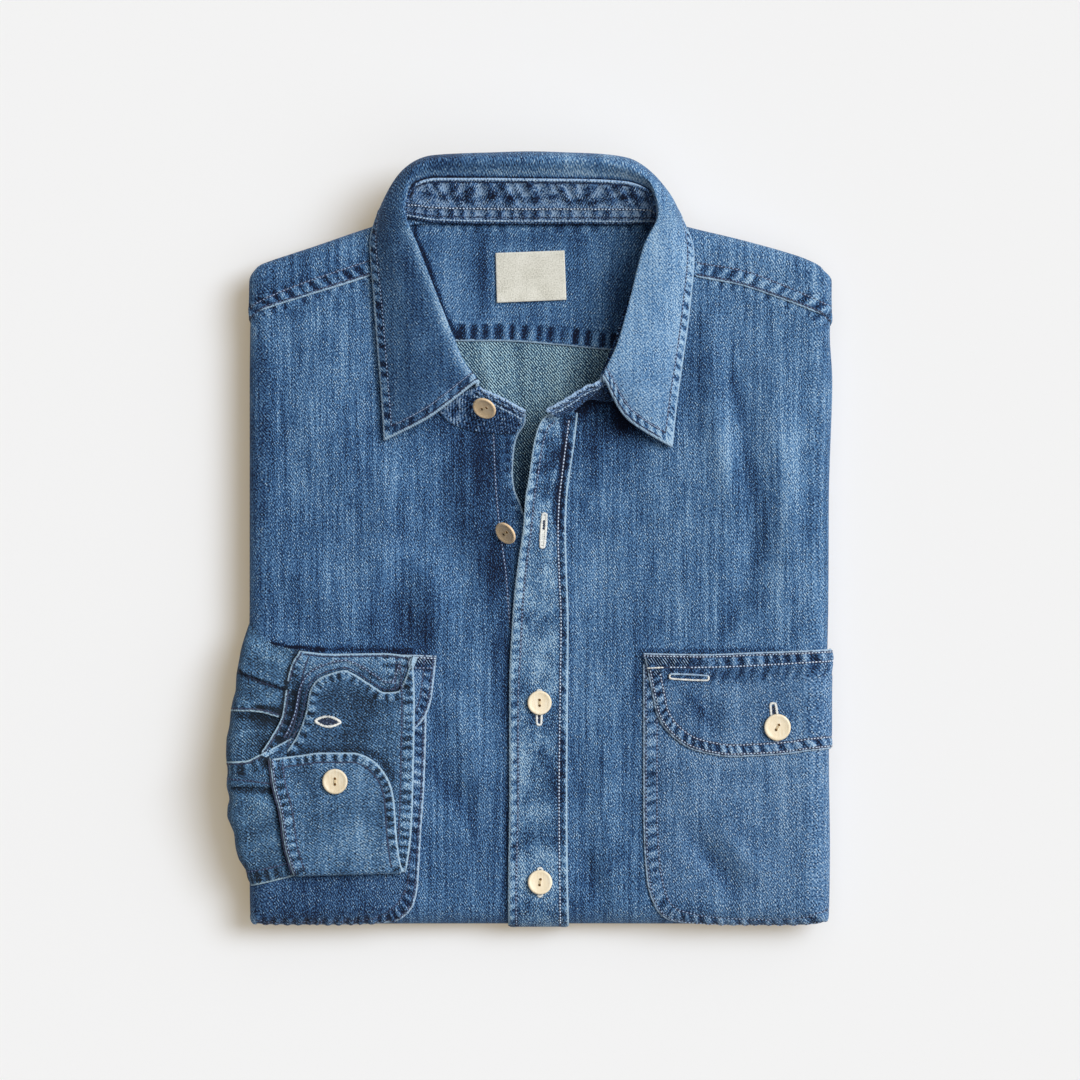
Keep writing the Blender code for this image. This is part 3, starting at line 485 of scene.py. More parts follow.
        # the edge turns over and comes back a little underneath
        rim_uv = uv[border]
        under = np.minimum(along(self.ring, rim_uv, 3.0)[0], 0.0)
        rings = [border]
        all_uv, all_lift, all_edge = [uv], [lift], [edge]
        all_tone, all_groove = [tone], [groove]
        count = len(uv)
        base = lift[border] + self.thick * self.drop
        for inn, down in ((0.12 * self.thick, 0.78), (0.5 * self.thick, 1.0), (self.tuck, 1.0)):
            ruv = rim_uv + inward * (inn / STEP)
            all_uv.append(ruv)
            all_lift.append(base - self.thick * down)
            all_edge.append(edge[border] + under)
            all_tone.append(tone[border])
            all_groove.append(np.full(n, 99.0))
            rings.append(list(range(count, count + n)))
            count += n
        full_uv = np.concatenate(all_uv)
        full_lift = np.concatenate(all_lift)
        extra = self.surf(full_uv[len(uv):, 0], full_uv[len(uv):, 1], full_lift[len(uv):])
        co = np.concatenate([co, extra])
        quads = []
        for r0, r1 in zip(rings, rings[1:]):
            r0, r1 = np.array(r0), np.array(r1)
            q = np.stack([r0, np.roll(r0, -1), np.roll(r1, -1), r1], -1)
            quads.append(q if turn > 0 else q[:, ::-1])
        faces = [tuple(f) for f in tris] + [tuple(q) for f in quads for q in f]
        c, s = math.cos(math.radians(self.grain)), math.sin(math.radians(self.grain))
        gu, gv = gx(full_uv[:, 0]), gy(full_uv[:, 1])
        coord = np.stack([gu * c - gv * s, gu * s + gv * c], -1) * MM
        obj = cloth_mesh(self.name, co, faces, coord, np.concatenate(all_tone),
                         np.concatenate(all_edge), np.concatenate(all_groove), material)
        for row in self.stitches:
            sew(self, *row)
        return obj


def within(loop, pts):
    """Which places lie inside a closed outline."""
    inside = np.zeros(len(pts), bool)
    x, y = pts[:, 0], pts[:, 1]
    x0, y0 = loop[:, 0], loop[:, 1]
    x1, y1 = np.roll(x0, -1), np.roll(y0, -1)
    for a, b, c, d in zip(x0, y0, x1, y1):
        if b == d:
            continue
        cross = ((b > y) != (d > y))
        if cross.any():
            inside ^= cross & (x < (c - a) * (y - b) / (d - b) + a)
    return inside


def cloth_mesh(name, co, faces, coord, tone, edge, groove, material):
    mesh = bpy.data.meshes.new(name)
    mesh.from_pydata((co * MM).tolist(), [], faces)
    mesh.update()
    uv = mesh.uv_layers.new(name="cloth")
    index = np.empty(len(mesh.loops), np.int32)
    mesh.loops.foreach_get("vertex_index", index)
    uv.data.foreach_set("uv", coord[index].astype(np.float32).ravel())
    for key, values in (("tone", tone), ("edge", edge), ("groove", groove)):
        layer = mesh.attributes.new(key, "FLOAT", "POINT")
        layer.data.foreach_set("value", np.asarray(values, np.float32))
    mesh.shade_smooth()
    mesh.materials.append(material)
    obj = bpy.data.objects.new(name, mesh)
    bpy.context.scene.collection.objects.link(obj)
    return obj


# --------------------------------------------------------------- stitches
THREADS = {}


def thread(group, colour, centre, tangent, normal, length, width, rise):
    THREADS.setdefault((group, colour), []).append(
        (centre, tangent, normal, np.broadcast_to(length, len(centre)),
         np.broadcast_to(width, len(centre)), np.broadcast_to(rise, len(centre))))


# kinds of sewing as they look after wear:
#   thread colour, pitch, length, width, rise of a stitch, width of the painted
#   shade strip along the sunken line it lies in, all mm
SEWING = {"white": ("white", 1.95, 1.25, 0.80, 0.22, 1.15),
          "ghost": ("ghost", 2.2, 0.9, 0.42, 0.10, 0.75),
          # line: no thread, only the painted shade strip of a sunken line
          "line": (None, 0, 0, 0, 0, 0.62),
          "fine": ("white", 1.9, 1.15, 0.60, 0.18, 1.3),
          "pale": ("pale", 2.15, 1.25, 0.56, 0.16, 0.95),
          "fleck": ("fleck", 2.15, 0.95, 0.44, 0.12, 0.85),
          "corded": ("pale", 2.15, 2.05, 0.44, 0.12, 1.15),
          "bold": ("satin", 1.9, 2.2, 0.95, 0.30, 1.2),
          "rope": ("rope", 1.9, 1.5, 0.95, 0.14, 0)}


def sew_path(group, kind, path, normal, seed=1):
    """Stitches along a path of points in mm with its surface normals."""
    colour, pitch, length, width, rise, dark = SEWING[kind]
    # painted shade along the sunken stitch line
    if dark:
        shade_ribbon(group, path, normal, dark)
    if colour is None:
        return
    k = np.concatenate([[0], np.cumsum(np.linalg.norm(np.diff(path, axis=0), axis=1))])
    n = max(1, int((k[-1] - 0.8) / pitch))
    rng = np.random.default_rng(seed * 977 + n)
    mid = 0.5 * pitch + pitch * np.arange(n) + rng.uniform(-0.08, 0.08, n)

    def at(values, t):
        return np.stack([np.interp(t, k, values[:, c]) for c in range(3)], -1)

    a, b = at(path, mid - length / 2), at(path, mid + length / 2)
    centre = (a + b) / 2 * 0.4 + at(path, mid) * 0.6
    tangent = b - a
    tangent /= np.maximum(np.linalg.norm(tangent, axis=1), 1e-9)[:, None]
    nor = at(normal, mid)
    nor /= np.maximum(np.linalg.norm(nor, axis=1), 1e-9)[:, None]
    thread(group, colour, centre, tangent, nor, length * rng.uniform(0.9, 1.08, n),
           width * rng.uniform(0.88, 1.12, n), rise)


def sew(cloth, line, kind):
    line = np.asarray(line)
    eps = 0.6
    lift = cloth.fields(line)[0] + 0.05
    here = cloth.surf(line[:, 0], line[:, 1], lift)
    du = cloth.surf(line[:, 0] + eps, line[:, 1], lift) - cloth.surf(line[:, 0] - eps, line[:, 1], lift)
    dv = cloth.surf(line[:, 0], line[:, 1] + eps, lift) - cloth.surf(line[:, 0], line[:, 1] - eps, lift)
    nor = np.cross(dv, du)
    nor /= np.maximum(np.linalg.norm(nor, axis=1), 1e-9)[:, None]
    sew_path(cloth.name, kind, here, nor, seed=len(line))


SHADE_RIBBONS = {}


def shade_ribbon(group, path, normal, width, rise=0.10):
    """A thin strip of painted shade on the cloth along a path in mm, under its stitches: the shade of the sunken
    stitch line.
    """
    run = np.gradient(path, axis=0)
    side = np.cross(run, normal)
    side /= np.maximum(np.linalg.norm(side, axis=1), 1e-9)[:, None]
    nor = normal / np.maximum(np.linalg.norm(normal, axis=1), 1e-9)[:, None]
    k = np.arange(len(path))
    w = width * (0.5 + 0.12 * np.sin(k * 1.7) + 0.1 * np.sin(k * 0.63))[:, None]
    SHADE_RIBBONS.setdefault(group, []).append((path + nor * rise - side * w, path + nor * rise + side * w))


def make_shade_ribbons(made):
    for group, rows in SHADE_RIBBONS.items():
        verts, faces, base = [], [], 0
        for left, right in rows:
            n = len(left)
            verts += [left, right]
            faces += [(base + i, base + i + 1, base + n + i + 1, base + n + i) for i in range(n - 1)]
            base += 2 * n
        # one mesh of painted shade strips for each piece
        mesh = bpy.data.meshes.new("seam_" + group)
        mesh.from_pydata((np.concatenate(verts) * MM).tolist(), [], faces)
        mesh.materials.append(MATERIALS["seam"])
        obj = bpy.data.objects.new(mesh.name, mesh)
        bpy.context.scene.collection.objects.link(obj)
        made.setdefault(group, []).append(obj)


RING = [(math.cos(a), math.sin(a)) for a in np.linspace(0, 2 * math.pi, 7)[:-1]]


def make_threads():
    """One joined mesh of stitches for each piece of cloth and colour."""
    made = {}
    for (group, colour), rows in THREADS.items():
        centre, tangent, normal, length, width, rise = (
            np.concatenate([r[k] for r in rows]) for k in range(6))
        side = np.cross(tangent, normal)
        side /= np.maximum(np.linalg.norm(side, axis=1), 1e-9)[:, None]
        up = np.cross(side, tangent)
        stations = ((-0.5, 0.42, 0.0), (-0.28, 0.95, 0.8), (0.28, 0.95, 0.8), (0.5, 0.42, 0.0))
        verts = []
        for t, r, lift in stations:
            mid = centre + tangent * (length * t)[:, None] + up * (rise * lift)[:, None]
            for c, s in RING:
                verts.append(mid + side * (width / 2 * r * c)[:, None]
                             + up * (width / 2 * 0.8 * r * s)[:, None])
        verts = np.stack(verts, 1)                       # stitch, 24, xyz
        n = len(centre)
        base = (np.arange(n) * 24)[:, None]
        faces = []
        for k in range(3):
            for i in range(6):
                j = (i + 1) % 6
                faces.append(base + np.array([k * 6 + i, k * 6 + j, k * 6 + 6 + j, k * 6 + 6 + i]))
        quads = np.concatenate(faces)
        caps = np.concatenate([base + np.array([5, 4, 3, 2, 1, 0]), base + np.array([18, 19, 20, 21, 22, 23])])
        mesh = bpy.data.meshes.new(f"stitches_{group}_{colour}")
        mesh.from_pydata((verts.reshape(-1, 3) * MM).tolist(), [],
                         quads.tolist() + caps.tolist())
        mesh.shade_smooth()
        mesh.materials.append(MATERIALS["thread_" + colour])
        obj = bpy.data.objects.new(mesh.name, mesh)
        bpy.context.scene.collection.objects.link(obj)
        made.setdefault(group, []).append(obj)
    return made


# -------------------------------------------------------------- materials
class Nodes:
    """Short hand for a material's nodes."""

    def __init__(self, name):
        self.mat = bpy.data.materials.new(name)
        self.mat.use_nodes = True
        self.tree = self.mat.node_tree
        self.bsdf = self.tree.nodes["Principled BSDF"]

    def node(self, kind, **settings):
        n = self.tree.nodes.new(kind)
        for key, value in settings.items():
            setattr(n, key, value)
        return n

    def put(self, socket, value):
        if isinstance(value, bpy.types.NodeSocket):
            self.tree.links.new(value, socket)
        else:
            socket.default_value = value

    def math(self, op, *values, clamp=False):
        n = self.node("ShaderNodeMath", operation=op, use_clamp=clamp)
        for i, v in enumerate(values):
            self.put(n.inputs[i], v)
        return n.outputs[0]

    def add(self, *values):
        out = values[0]
        for v in values[1:]:
            out = self.math("ADD", out, v)
        return out

    def mul(self, a, b):
        return self.math("MULTIPLY", a, b)

    def step(self, value, low, high):
        """0 below low, 1 above high (or the other way round), smooth."""
        n = self.node("ShaderNodeMapRange", interpolation_type="SMOOTHSTEP")
        self.put(n.inputs["Value"], value)
        flip = low > high
        self.put(n.inputs["From Min"], min(low, high))
        self.put(n.inputs["From Max"], max(low, high))
        self.put(n.inputs["To Min"], 1.0 if flip else 0.0)
        self.put(n.inputs["To Max"], 0.0 if flip else 1.0)
        return n.outputs[0]

    def attribute(self, name):
        n = self.node("ShaderNodeAttribute", attribute_name=name)
        return n.outputs["Fac"]

    def cloth(self):
        """Places on the cloth in mm."""
        n = self.node("ShaderNodeUVMap", uv_map="cloth")
        s = self.node("ShaderNodeVectorMath", operation="SCALE")
        self.put(s.inputs[0], n.outputs[0])
        s.inputs["Scale"].default_value = 1000.0
        return s.outputs[0]

    def scaled(self, vector, x, y, z=1.0, move=(0, 0, 0), turn=0.0):
        n = self.node("ShaderNodeMapping")
        self.put(n.inputs["Vector"], vector)
        n.inputs["Scale"].default_value = (x, y, z)
        n.inputs["Location"].default_value = move
        n.inputs["Rotation"].default_value = (0, 0, math.radians(turn))
        return n.outputs[0]

    def noise(self, vector, scale=1.0, detail=2.0, rough=0.5, dims="2D"):
        n = self.node("ShaderNodeTexNoise", noise_dimensions=dims)
        self.put(n.inputs["Vector"], vector)
        n.inputs["Scale"].default_value = scale
        n.inputs["Detail"].default_value = detail
        n.inputs["Roughness"].default_value = rough
        return n.outputs[0]

    def ramp(self, fac, stops):
        n = self.node("ShaderNodeValToRGB")
        self.put(n.inputs[0], fac)
        el = n.color_ramp.elements
        while len(el) > 1:
            el.remove(el[-1])
        el[0].position, el[0].color = stops[0][0], tuple(stops[0][1]) + (1,)
        for pos, col in stops[1:]:
            e = el.new(pos)
            e.color = tuple(col) + (1,)
        return n.outputs[0]

    def mix(self, fac, a, b):
        n = self.node("ShaderNodeMix", data_type="RGBA")
        self.put(n.inputs[0], fac)
        for socket, v in ((n.inputs[6], a), (n.inputs[7], b)):
            self.put(socket, v if isinstance(v, bpy.types.NodeSocket) else tuple(v) + (1,))
        return n.outputs[2]

    def bump(self, height, distance, strength=1.0):
        n = self.node("ShaderNodeBump")
        self.put(n.inputs["Height"], height)
        n.inputs["Distance"].default_value = distance
        n.inputs["Strength"].default_value = strength
        self.tree.links.new(n.outputs[0], self.bsdf.inputs["Normal"])


def cells(n, x, y, wide, tall, lean=0.0):
    """A random value for every small cell of yarn: crisp salt and pepper."""
    col = n.math("FLOOR", n.mul(x, 1 / wide))
    row = n.math("FLOOR", n.add(n.mul(y, 1 / tall), n.mul(col, lean)))
    v = n.node("ShaderNodeCombineXYZ")
    n.put(v.inputs[0], col)
    n.put(v.inputs[1], row)
    w = n.node("ShaderNodeTexWhiteNoise", noise_dimensions="2D")
    n.put(w.inputs["Vector"], v.outputs[0])
    return w.outputs["Value"]


def srgb(r, g, b):
    return tuple(((c / 255 + 0.055) / 1.055) ** 2.4 if c > 10 else c / 255 / 12.92 for c in (r, g, b))


DARK, MID, PALE = srgb(30, 44, 78), srgb(75, 108, 147), srgb(152, 180, 208)
WORN = srgb(168, 197, 221)


def denim(name, base=0.5, twill=55.0, contrast=1.0, wrong_side=False, tint=(1, 1, 1), fade=1.0,
          twill_gain=0.10, greyer=False, streak=1.0, raw=False):
    """Washed twill: diagonal lines of pale and dark yarn, slubs, soft blotches,
    pale worn edges and painted shade in the stitch grooves."""
    n = Nodes(name)
    p = n.cloth()
    c, s = math.cos(math.radians(twill)), math.sin(math.radians(twill))
    drift = n.noise(p, 0.10, 2.0)
    pos = n.node("ShaderNodeSeparateXYZ")
    n.put(pos.inputs[0], p)
    x, y = pos.outputs[0], pos.outputs[1]
    period = 1.28
    phase = n.add(n.mul(x, 2 * math.pi * s / period), n.mul(y, 2 * math.pi * c / period),
                  n.mul(drift, 5.0))
    lines = n.math("SINE", phase)
    # yarn: short pale floats of the warp, run up and down the cloth
    yarn = n.noise(n.scaled(p, 3.2, 2.0), 1.0, 1.0, 0.5)
    fleck = n.noise(n.scaled(p, 1.3, 0.75, move=(7, 3, 0)), 1.0, 2.0, 0.6)
    slub = n.noise(n.scaled(p, 1.15, 0.035, move=(3, 9, 0)), 1.0, 2.0, 0.6)
    bar = n.noise(n.scaled(p, 0.33, 0.011, move=(1, 5, 0)), 1.0, 2.0, 0.6)
    cloud = n.noise(p, 0.028, 3.0, 0.55)
    patch = n.noise(n.scaled(p, 0.11, 0.075, move=(11, 2, 0)), 1.0, 3.0, 0.6)
    tone = n.attribute("tone")
    k = contrast
    # each yarn against its neighbour, across and along, so the grain stays
    # fine and even from afar
    side, far = n.add(x, 0.56), n.add(x, 224.0)
    salt = n.add(cells(n, x, y, 0.56, 0.74, 0.62), cells(n, far, y, 0.56, 0.74, 0.62),
                 n.mul(n.add(cells(n, side, y, 0.56, 0.74, 0.62),
                             cells(n, far, n.add(y, 0.74), 0.56, 0.74, 0.62)), -1.0))
    strong = n.add(0.75, n.mul(fleck, 0.5))             # lines come and go
    weave = n.add(n.mul(n.mul(lines, strong), twill_gain * k),
                  n.mul(n.math("SUBTRACT", yarn, 0.5), 0.43 * k),
                  n.mul(n.math("SUBTRACT", fleck, 0.5), 0.10 * k),
                  n.mul(salt, 0.35 * k))
    value = n.add(base, weave, n.mul(n.math("SUBTRACT", slub, 0.5), 0.30 * streak),
                  n.mul(n.math("SUBTRACT", bar, 0.5), 0.28 * streak),
                  n.mul(n.math("SUBTRACT", cloud, 0.5), 0.30 * fade),
                  n.mul(n.math("SUBTRACT", patch, 0.5), 0.26 * fade), tone)
    if raw:
        # where it was never rubbed, white weft shows in lines on dark indigo
        deep = n.math("MULTIPLY", n.math("SUBTRACT", n.mul(tone, -1.0), 0.5), 3.4, clamp=True)
        line = n.math("MAXIMUM", n.add(lines, -0.1), 0.0)
        value = n.add(value, n.mul(deep, n.mul(line, 1.5)))
    if wrong_side:
        stops = [(0.0, srgb(16, 38, 62)), (0.28, srgb(52, 84, 114)), (0.5, srgb(90, 127, 154)),
                 (0.75, srgb(136, 172, 190)), (1.0, srgb(192, 220, 226))]
    else:
        stops = [(0.0, srgb(6, 16, 40)), (0.22, srgb(27, 57, 98)), (0.5, srgb(65, 106, 150)),
                 (0.75, srgb(105, 147, 188)), (1.0, srgb(170, 199, 222))]
    if greyer:
        stops[:2] = [(0.0, srgb(18, 28, 40)), (0.22, srgb(38, 60, 88))]
    colour = n.ramp(value, stops)
    # worn edges
    edge, groove = n.attribute("edge"), n.attribute("groove")
    ragged = n.noise(n.scaled(p, 0.8, 0.8, move=(4, 4, 0)), 1.0, 3.0, 0.6)
    rub = n.mul(n.step(n.add(edge, n.mul(n.math("SUBTRACT", ragged, 0.5), 2.0)), 1.25, 0.5), 0.88)
    colour = n.mix(rub, colour, WORN)
    # painted shade: the cloth darkens along the sunken stitch grooves
    groove_shade = n.mul(n.step(groove, 0.62, 0.3), 0.85)
    colour = n.mix(groove_shade, colour, srgb(14, 22, 48))
    if tint != (1, 1, 1):
        m = n.node("ShaderNodeMix", data_type="RGBA", blend_type="MULTIPLY")
        m.inputs[0].default_value = 1.0
        n.put(m.inputs[6], colour)
        m.inputs[7].default_value = tuple(tint) + (1,)
        colour = m.outputs[2]
    n.put(n.bsdf.inputs["Base Color"], colour)
    n.bsdf.inputs["Roughness"].default_value = 0.88
    n.bsdf.inputs["Specular IOR Level"].default_value = 0.18
    n.bsdf.inputs["Sheen Weight"].default_value = 0.10
    n.bsdf.inputs["Sheen Roughness"].default_value = 0.55
    n.bsdf.inputs["Sheen Tint"].default_value = (0.75, 0.85, 1.0, 1.0)
    relief = n.add(n.mul(lines, 0.5), n.mul(yarn, 1.0), n.mul(salt, 0.3), n.mul(slub, 0.4))
    n.bump(relief, 0.00016, 0.9)
    return n.mat


def thread_material(name, light, dark):
    n = Nodes(name)
    g = n.node("ShaderNodeTexCoord")
    s = n.scaled(g.outputs["Object"], 1000, 1000, 1000)
    ply = n.noise(s, 2.4, 2.0, dims="3D")
    spread = n.noise(s, 0.12, 2.0, dims="3D")
    f = n.add(n.mul(ply, 0.6), n.mul(spread, 0.9), -0.25)
    n.put(n.bsdf.inputs["Base Color"], n.ramp(f, [(0.15, dark), (0.75, light)]))
    n.bsdf.inputs["Roughness"].default_value = 0.62
    n.bsdf.inputs["Sheen Weight"].default_value = 0.1
    n.bump(ply, 0.00008, 0.7)
    return n.mat


# tan and light give darker, browner copies; button_shaded is painted shade for a button that faces away from the light
def button_material(name="button_cream", tan=1.0, light=1.0):
    n = Nodes(name)
    g = n.node("ShaderNodeTexCoord")
    s = n.scaled(g.outputs["Object"], 1000, 1000, 1000)
    grain = n.noise(n.scaled(s, 0.9, 0.16, 0.9), 1.0, 3.0, 0.6, dims="3D")
    cloud = n.noise(s, 0.12, 2.0, dims="3D")
    f = n.add(n.mul(grain, 0.75), n.mul(cloud, 0.5), -0.12)
    n.put(n.bsdf.inputs["Base Color"], n.ramp(f, [
        (at, (r * light, g * light * tan ** 0.5, b * light * tan)) for at, (r, g, b) in (
            (0.2, srgb(228, 206, 168)), (0.5, srgb(243, 227, 196)), (0.8, srgb(252, 243, 222)))]))
    n.bsdf.inputs["Roughness"].default_value = 0.34
    n.bsdf.inputs["Subsurface Weight"].default_value = 0.0
    n.bsdf.inputs["Coat Weight"].default_value = 0.12
    n.bsdf.inputs["Coat Roughness"].default_value = 0.3
    n.bump(grain, 0.00003, 0.6)
    return n.mat


def label_material():
    n = Nodes("label_woven")
    p = n.cloth()
    pos = n.node("ShaderNodeSeparateXYZ")
    n.put(pos.inputs[0], p)
    warp = n.math("SINE", n.mul(pos.outputs[0], 2 * math.pi / 0.42))
    weft = n.math("SINE", n.mul(pos.outputs[1], 2 * math.pi / 0.34))
    weave = n.mul(warp, weft)
    cloud = n.noise(p, 0.09, 3.0)
    fine = n.noise(p, 1.3, 2.0)
    tone = n.attribute("tone")
    f = n.add(0.5, n.mul(weave, 0.12), n.mul(n.math("SUBTRACT", cloud, 0.5), 0.5),
              n.mul(n.math("SUBTRACT", fine, 0.5), 1.1), tone)
    colour = n.ramp(f, [(0.1, srgb(182, 179, 164)), (0.5, srgb(224, 222, 209)), (0.85, srgb(240, 238, 228))])
    edge = n.attribute("edge")
    colour = n.mix(n.mul(n.step(edge, 0.9, 0.2), 0.35), colour, srgb(245, 243, 235))
    n.put(n.bsdf.inputs["Base Color"], colour)
    n.bsdf.inputs["Roughness"].default_value = 0.7
    n.bsdf.inputs["Sheen Weight"].default_value = 0.15
    n.bump(n.add(n.mul(weave, 0.5), fine), 0.00008, 0.8)
    return n.mat


GREYED = (1.02, 1.0, 0.93)
MATERIALS = {
    "denim": denim("denim_front", 0.437, contrast=1.04, streak=1.75),
    "denim_collar": denim("denim_collar", 0.53, contrast=0.95),
    "denim_pocket": denim("denim_pocket", 0.505, contrast=1.08, tint=(1.06, 1.0, 0.98), streak=1.2, raw=True),
    "denim_placket": denim("denim_placket", 0.58, contrast=1.2, fade=3.3, tint=(1.0, 0.985, 0.955)),
    "denim_sleeve": denim("denim_sleeve", 0.365, twill=40.0, contrast=1.05, tint=GREYED, greyer=True),
    "denim_cuff": denim("denim_cuff", 0.43, twill=35.0, contrast=1.15, fade=1.4, tint=(1.01, 1.0, 0.97), greyer=True),
    "denim_sleeve_inside": denim("denim_sleeve_inside", 0.29, twill=45.0, contrast=1.0, tint=GREYED,
                                 twill_gain=0.22, greyer=True),
    "denim_inner": denim("denim_inner_yoke", 0.475, twill=125.0, contrast=0.95, twill_gain=0.14),
    "denim_stand": denim("denim_stand", 0.495, twill=125.0, contrast=1.55, twill_gain=0.13,
                         tint=(0.99, 0.99, 1.07)),
    "wrong_side": denim("denim_wrong_side", 0.40, twill=50.0, contrast=1.5, wrong_side=True,
                        twill_gain=0.33, tint=(0.95, 1.0, 1.02)),
    "thread_white": thread_material("thread_white", srgb(224, 241, 255), srgb(184, 210, 246)),
    "thread_satin": thread_material("thread_satin", srgb(244, 244, 238), srgb(210, 214, 214)),
    "seam": thread_material("seam_shadow", srgb(24, 40, 80), srgb(5, 12, 36)),
    "thread_cream": thread_material("thread_cream", srgb(240, 236, 224), srgb(206, 200, 184)),
    "thread_fleck": thread_material("thread_fleck", srgb(132, 166, 212), srgb(54, 82, 130)),
    "thread_ghost": thread_material("thread_ghost", srgb(90, 114, 150), srgb(38, 54, 86)),
    "thread_rope": thread_material("thread_rope", srgb(196, 220, 238), srgb(112, 146, 184)),
    "thread_tan": thread_material("thread_tan", srgb(238, 220, 182), srgb(210, 184, 138)),
    "thread_pale": thread_material("thread_pale", srgb(184, 212, 246), srgb(122, 156, 204)),
    "button": button_material(),
    # painted shade: darker, browner copy for a button that faces away from the light
    "button_tan": button_material("button_shaded", 0.76),
    "button_deep": button_material("button_deep", 0.99, 0.89),
    "label": label_material(),
}

PIECES = {}          # name -> (object, nodes it stands for, slot, Cloth or flat size)


# ------------------------------------------------------- surfaces to lie on
def placket_surf(u, v, lift):
    left, right = curve(PLACKET, v, 1), curve(PLACKET, v, 2)
    f = np.clip((u - left) / (right - left), 0, 1)
    pts = body(u, v, lift)
    pts[..., 2] += curve(PLACKET, v, 3) * (1 - f) ** 1.5
    return pts


SLEEVE_LINE = [(612, 253), (624, 248.4), (640, 243.2), (650, 240.5), (662, 238.4), (676, 236),
               (690, 235.3), (700, 232.6), (712, 230.4), (726, 229), (740, 226.2), (755, 225.8),
               (771, 227.6), (785, 226.6), (799, 229.2), (807, 227.4), (815, 227), (825, 230.4),
               (834, 233.8), (846, 235), (859, 238.4), (865, 242), (871, 245.6), (878, 247),
               (884, 249.6), (900, 254)]
SLEEVE_OUT, SLEEVE_UNDER = 9.0, 8.0       # mm: reach of its side fold, height below
SLEEVE_QUARTER = 17.5 / STEP              # cloth in a quarter turn of that fold
SLEEVE_FULL = 2.0 / 3.2                   # how square the fold is


def on_sleeve(places):
    """Places seen from above, carried round the sleeve's own fold."""
    p = np.array(places, float)
    start = curve(SLEEVE_LINE, p[:, 1]) + SLEEVE_OUT / STEP
    over = np.clip((start - p[:, 0]) * STEP / SLEEVE_OUT, 0, 1)
    turn = np.arcsin(over ** (1 / SLEEVE_FULL)) * 2 / np.pi
    return np.stack([np.where(over > 0, start - SLEEVE_QUARTER * turn, p[:, 0]), p[:, 1]], -1)


def sleeve_line(places, step=1.0):
    return respaced(on_sleeve(smooth_line(places, step * 0.5)), step)


def puff(u, v):
    """How much the folded sleeve stands up at its side."""
    return 6.5 * np.exp(-((v - 762) / 72.0) ** 2) * smooth((306 - u) / 52.0)


def sleeve_surf(u, v, lift):
    """The folded sleeve: over the packet, round its own fold, back beneath."""
    start = curve(SLEEVE_LINE, v) + SLEEVE_OUT / STEP
    quarter = SLEEVE_QUARTER
    turn = np.clip((start - u) / quarter, 0, 2)
    past = np.maximum(start - u - 2 * quarter, 0)
    ang = turn * math.pi / 2
    h = height(np.maximum(np.maximum(u, start), 285), v) + lift + puff(np.maximum(u, start), v)
    up = (h - SLEEVE_UNDER) / 2
    across, down = np.abs(np.sin(ang)) ** SLEEVE_FULL, np.abs(np.cos(ang)) ** SLEEVE_FULL
    x = gx(np.maximum(u, start)) - SLEEVE_OUT * across + past * STEP
    z = h - up * (1 - np.sign(np.cos(ang)) * down)
    return np.stack(np.broadcast_arrays(x, gy(v), z), -1)


CUFF_FOOT = [(280, 877), (294, 876), (350, 874.5), (406, 873), (420, 872.5)]


def cuff_surf(top, out=3.2, low=3.4):
    """Cuff cloth at a lift of top mm, turning down at its lower fold to low mm."""
    def surf(u, v, lift):
        start = curve(CUFF_FOOT, u) - out / STEP
        ang = np.clip((v - start) * STEP / (out * 1.3), 0, 2) * math.pi / 2
        vv = np.minimum(v, start)
        up = (top - low) / 2
        more = lift - top
        h = height(np.maximum(u, 285), vv) + puff(u, vv)
        y = gy(vv) - (out + more) * np.sin(ang)
        z = h + top - up * (1 - np.cos(ang)) + more * np.cos(ang)
        return np.stack(np.broadcast_arrays(gx(u), y, z), -1)
    return surf


def inner_surf(u, v, lift):
    """Inner yoke in the well of the neck."""
    rows = [(226, 20.9, 20.8), (242, 20.6, 20.0), (262, 20.3, 19.1), (290, 19.9, 18.7),
            (318, 19.5, 18.5), (350, 19.1, 18.3)]
    f = (u - 530) / 134
    zm, zl = curve(rows, v, 2), curve(rows, v, 1)
    z = zm + (zl - zm) * np.clip(f, -1, 1) ** 4 + lift
    return np.stack(np.broadcast_arrays(gx(u), gy(v), z), -1)


def back_surf(u, v, lift):
    return np.stack(np.broadcast_arrays(gx(u), gy(v), 17.3 + lift + 0 * u), -1)


def below(line_a, line_b=None):
    return line_a if line_b is None else np.concatenate([line_a, line_b])


def reach(places, under):
    """Height drop in mm towards a line, soft over a width in mm: a shape that
    brings a piece down to what lies under it."""
    line = seen(places)

    def shape(uv):
        d, _ = along(line, uv, under[1] * 2.5)
        return -under[0] * np.exp(-(d / under[1]) ** 2), 0 * d
    return shape


# ------------------------------------------------------ lines of the shirt
SHOULDER_L = [(250, 321), (264.5, 310), (301, 298), (370, 276)]
SHOULDER_L_SEWN = [(251.5, 307), (263, 300), (301, 284), (369, 261)]
SHOULDER_R = [(697, 277), (738, 285), (782, 299.5), (816, 313), (830, 323.5)]
SHOULDER_R_SEWN = [(697, 263), (739, 270), (782, 285), (830, 306)]
EDGE_R = [(525, 411), (526, 420), (517, 438), (514, 453), (513, 475), (515, 490),
          (520, 502), (523.5, 513)]
EDGE_R_SEWN = [(493, 417), (494, 450), (496, 490), (500, 530), (503, 552), (506, 575),
               (508, 602), (510, 628)]
PLACKET_LEFT = [(555, 412), (544, 417.5), (538, 427.5), (533, 447), (529, 475), (525, 499),
                (523, 527), (518, 561), (514, 594), (512, 620), (509, 687), (509, 795),
                (508, 882), (508, 924)]
PLACKET_RIGHT = [(578, 413), (575, 441), (570, 475), (567, 502), (566, 533), (567, 571),
                 (568.6, 619), (567.4, 795), (568, 882), (569, 924)]
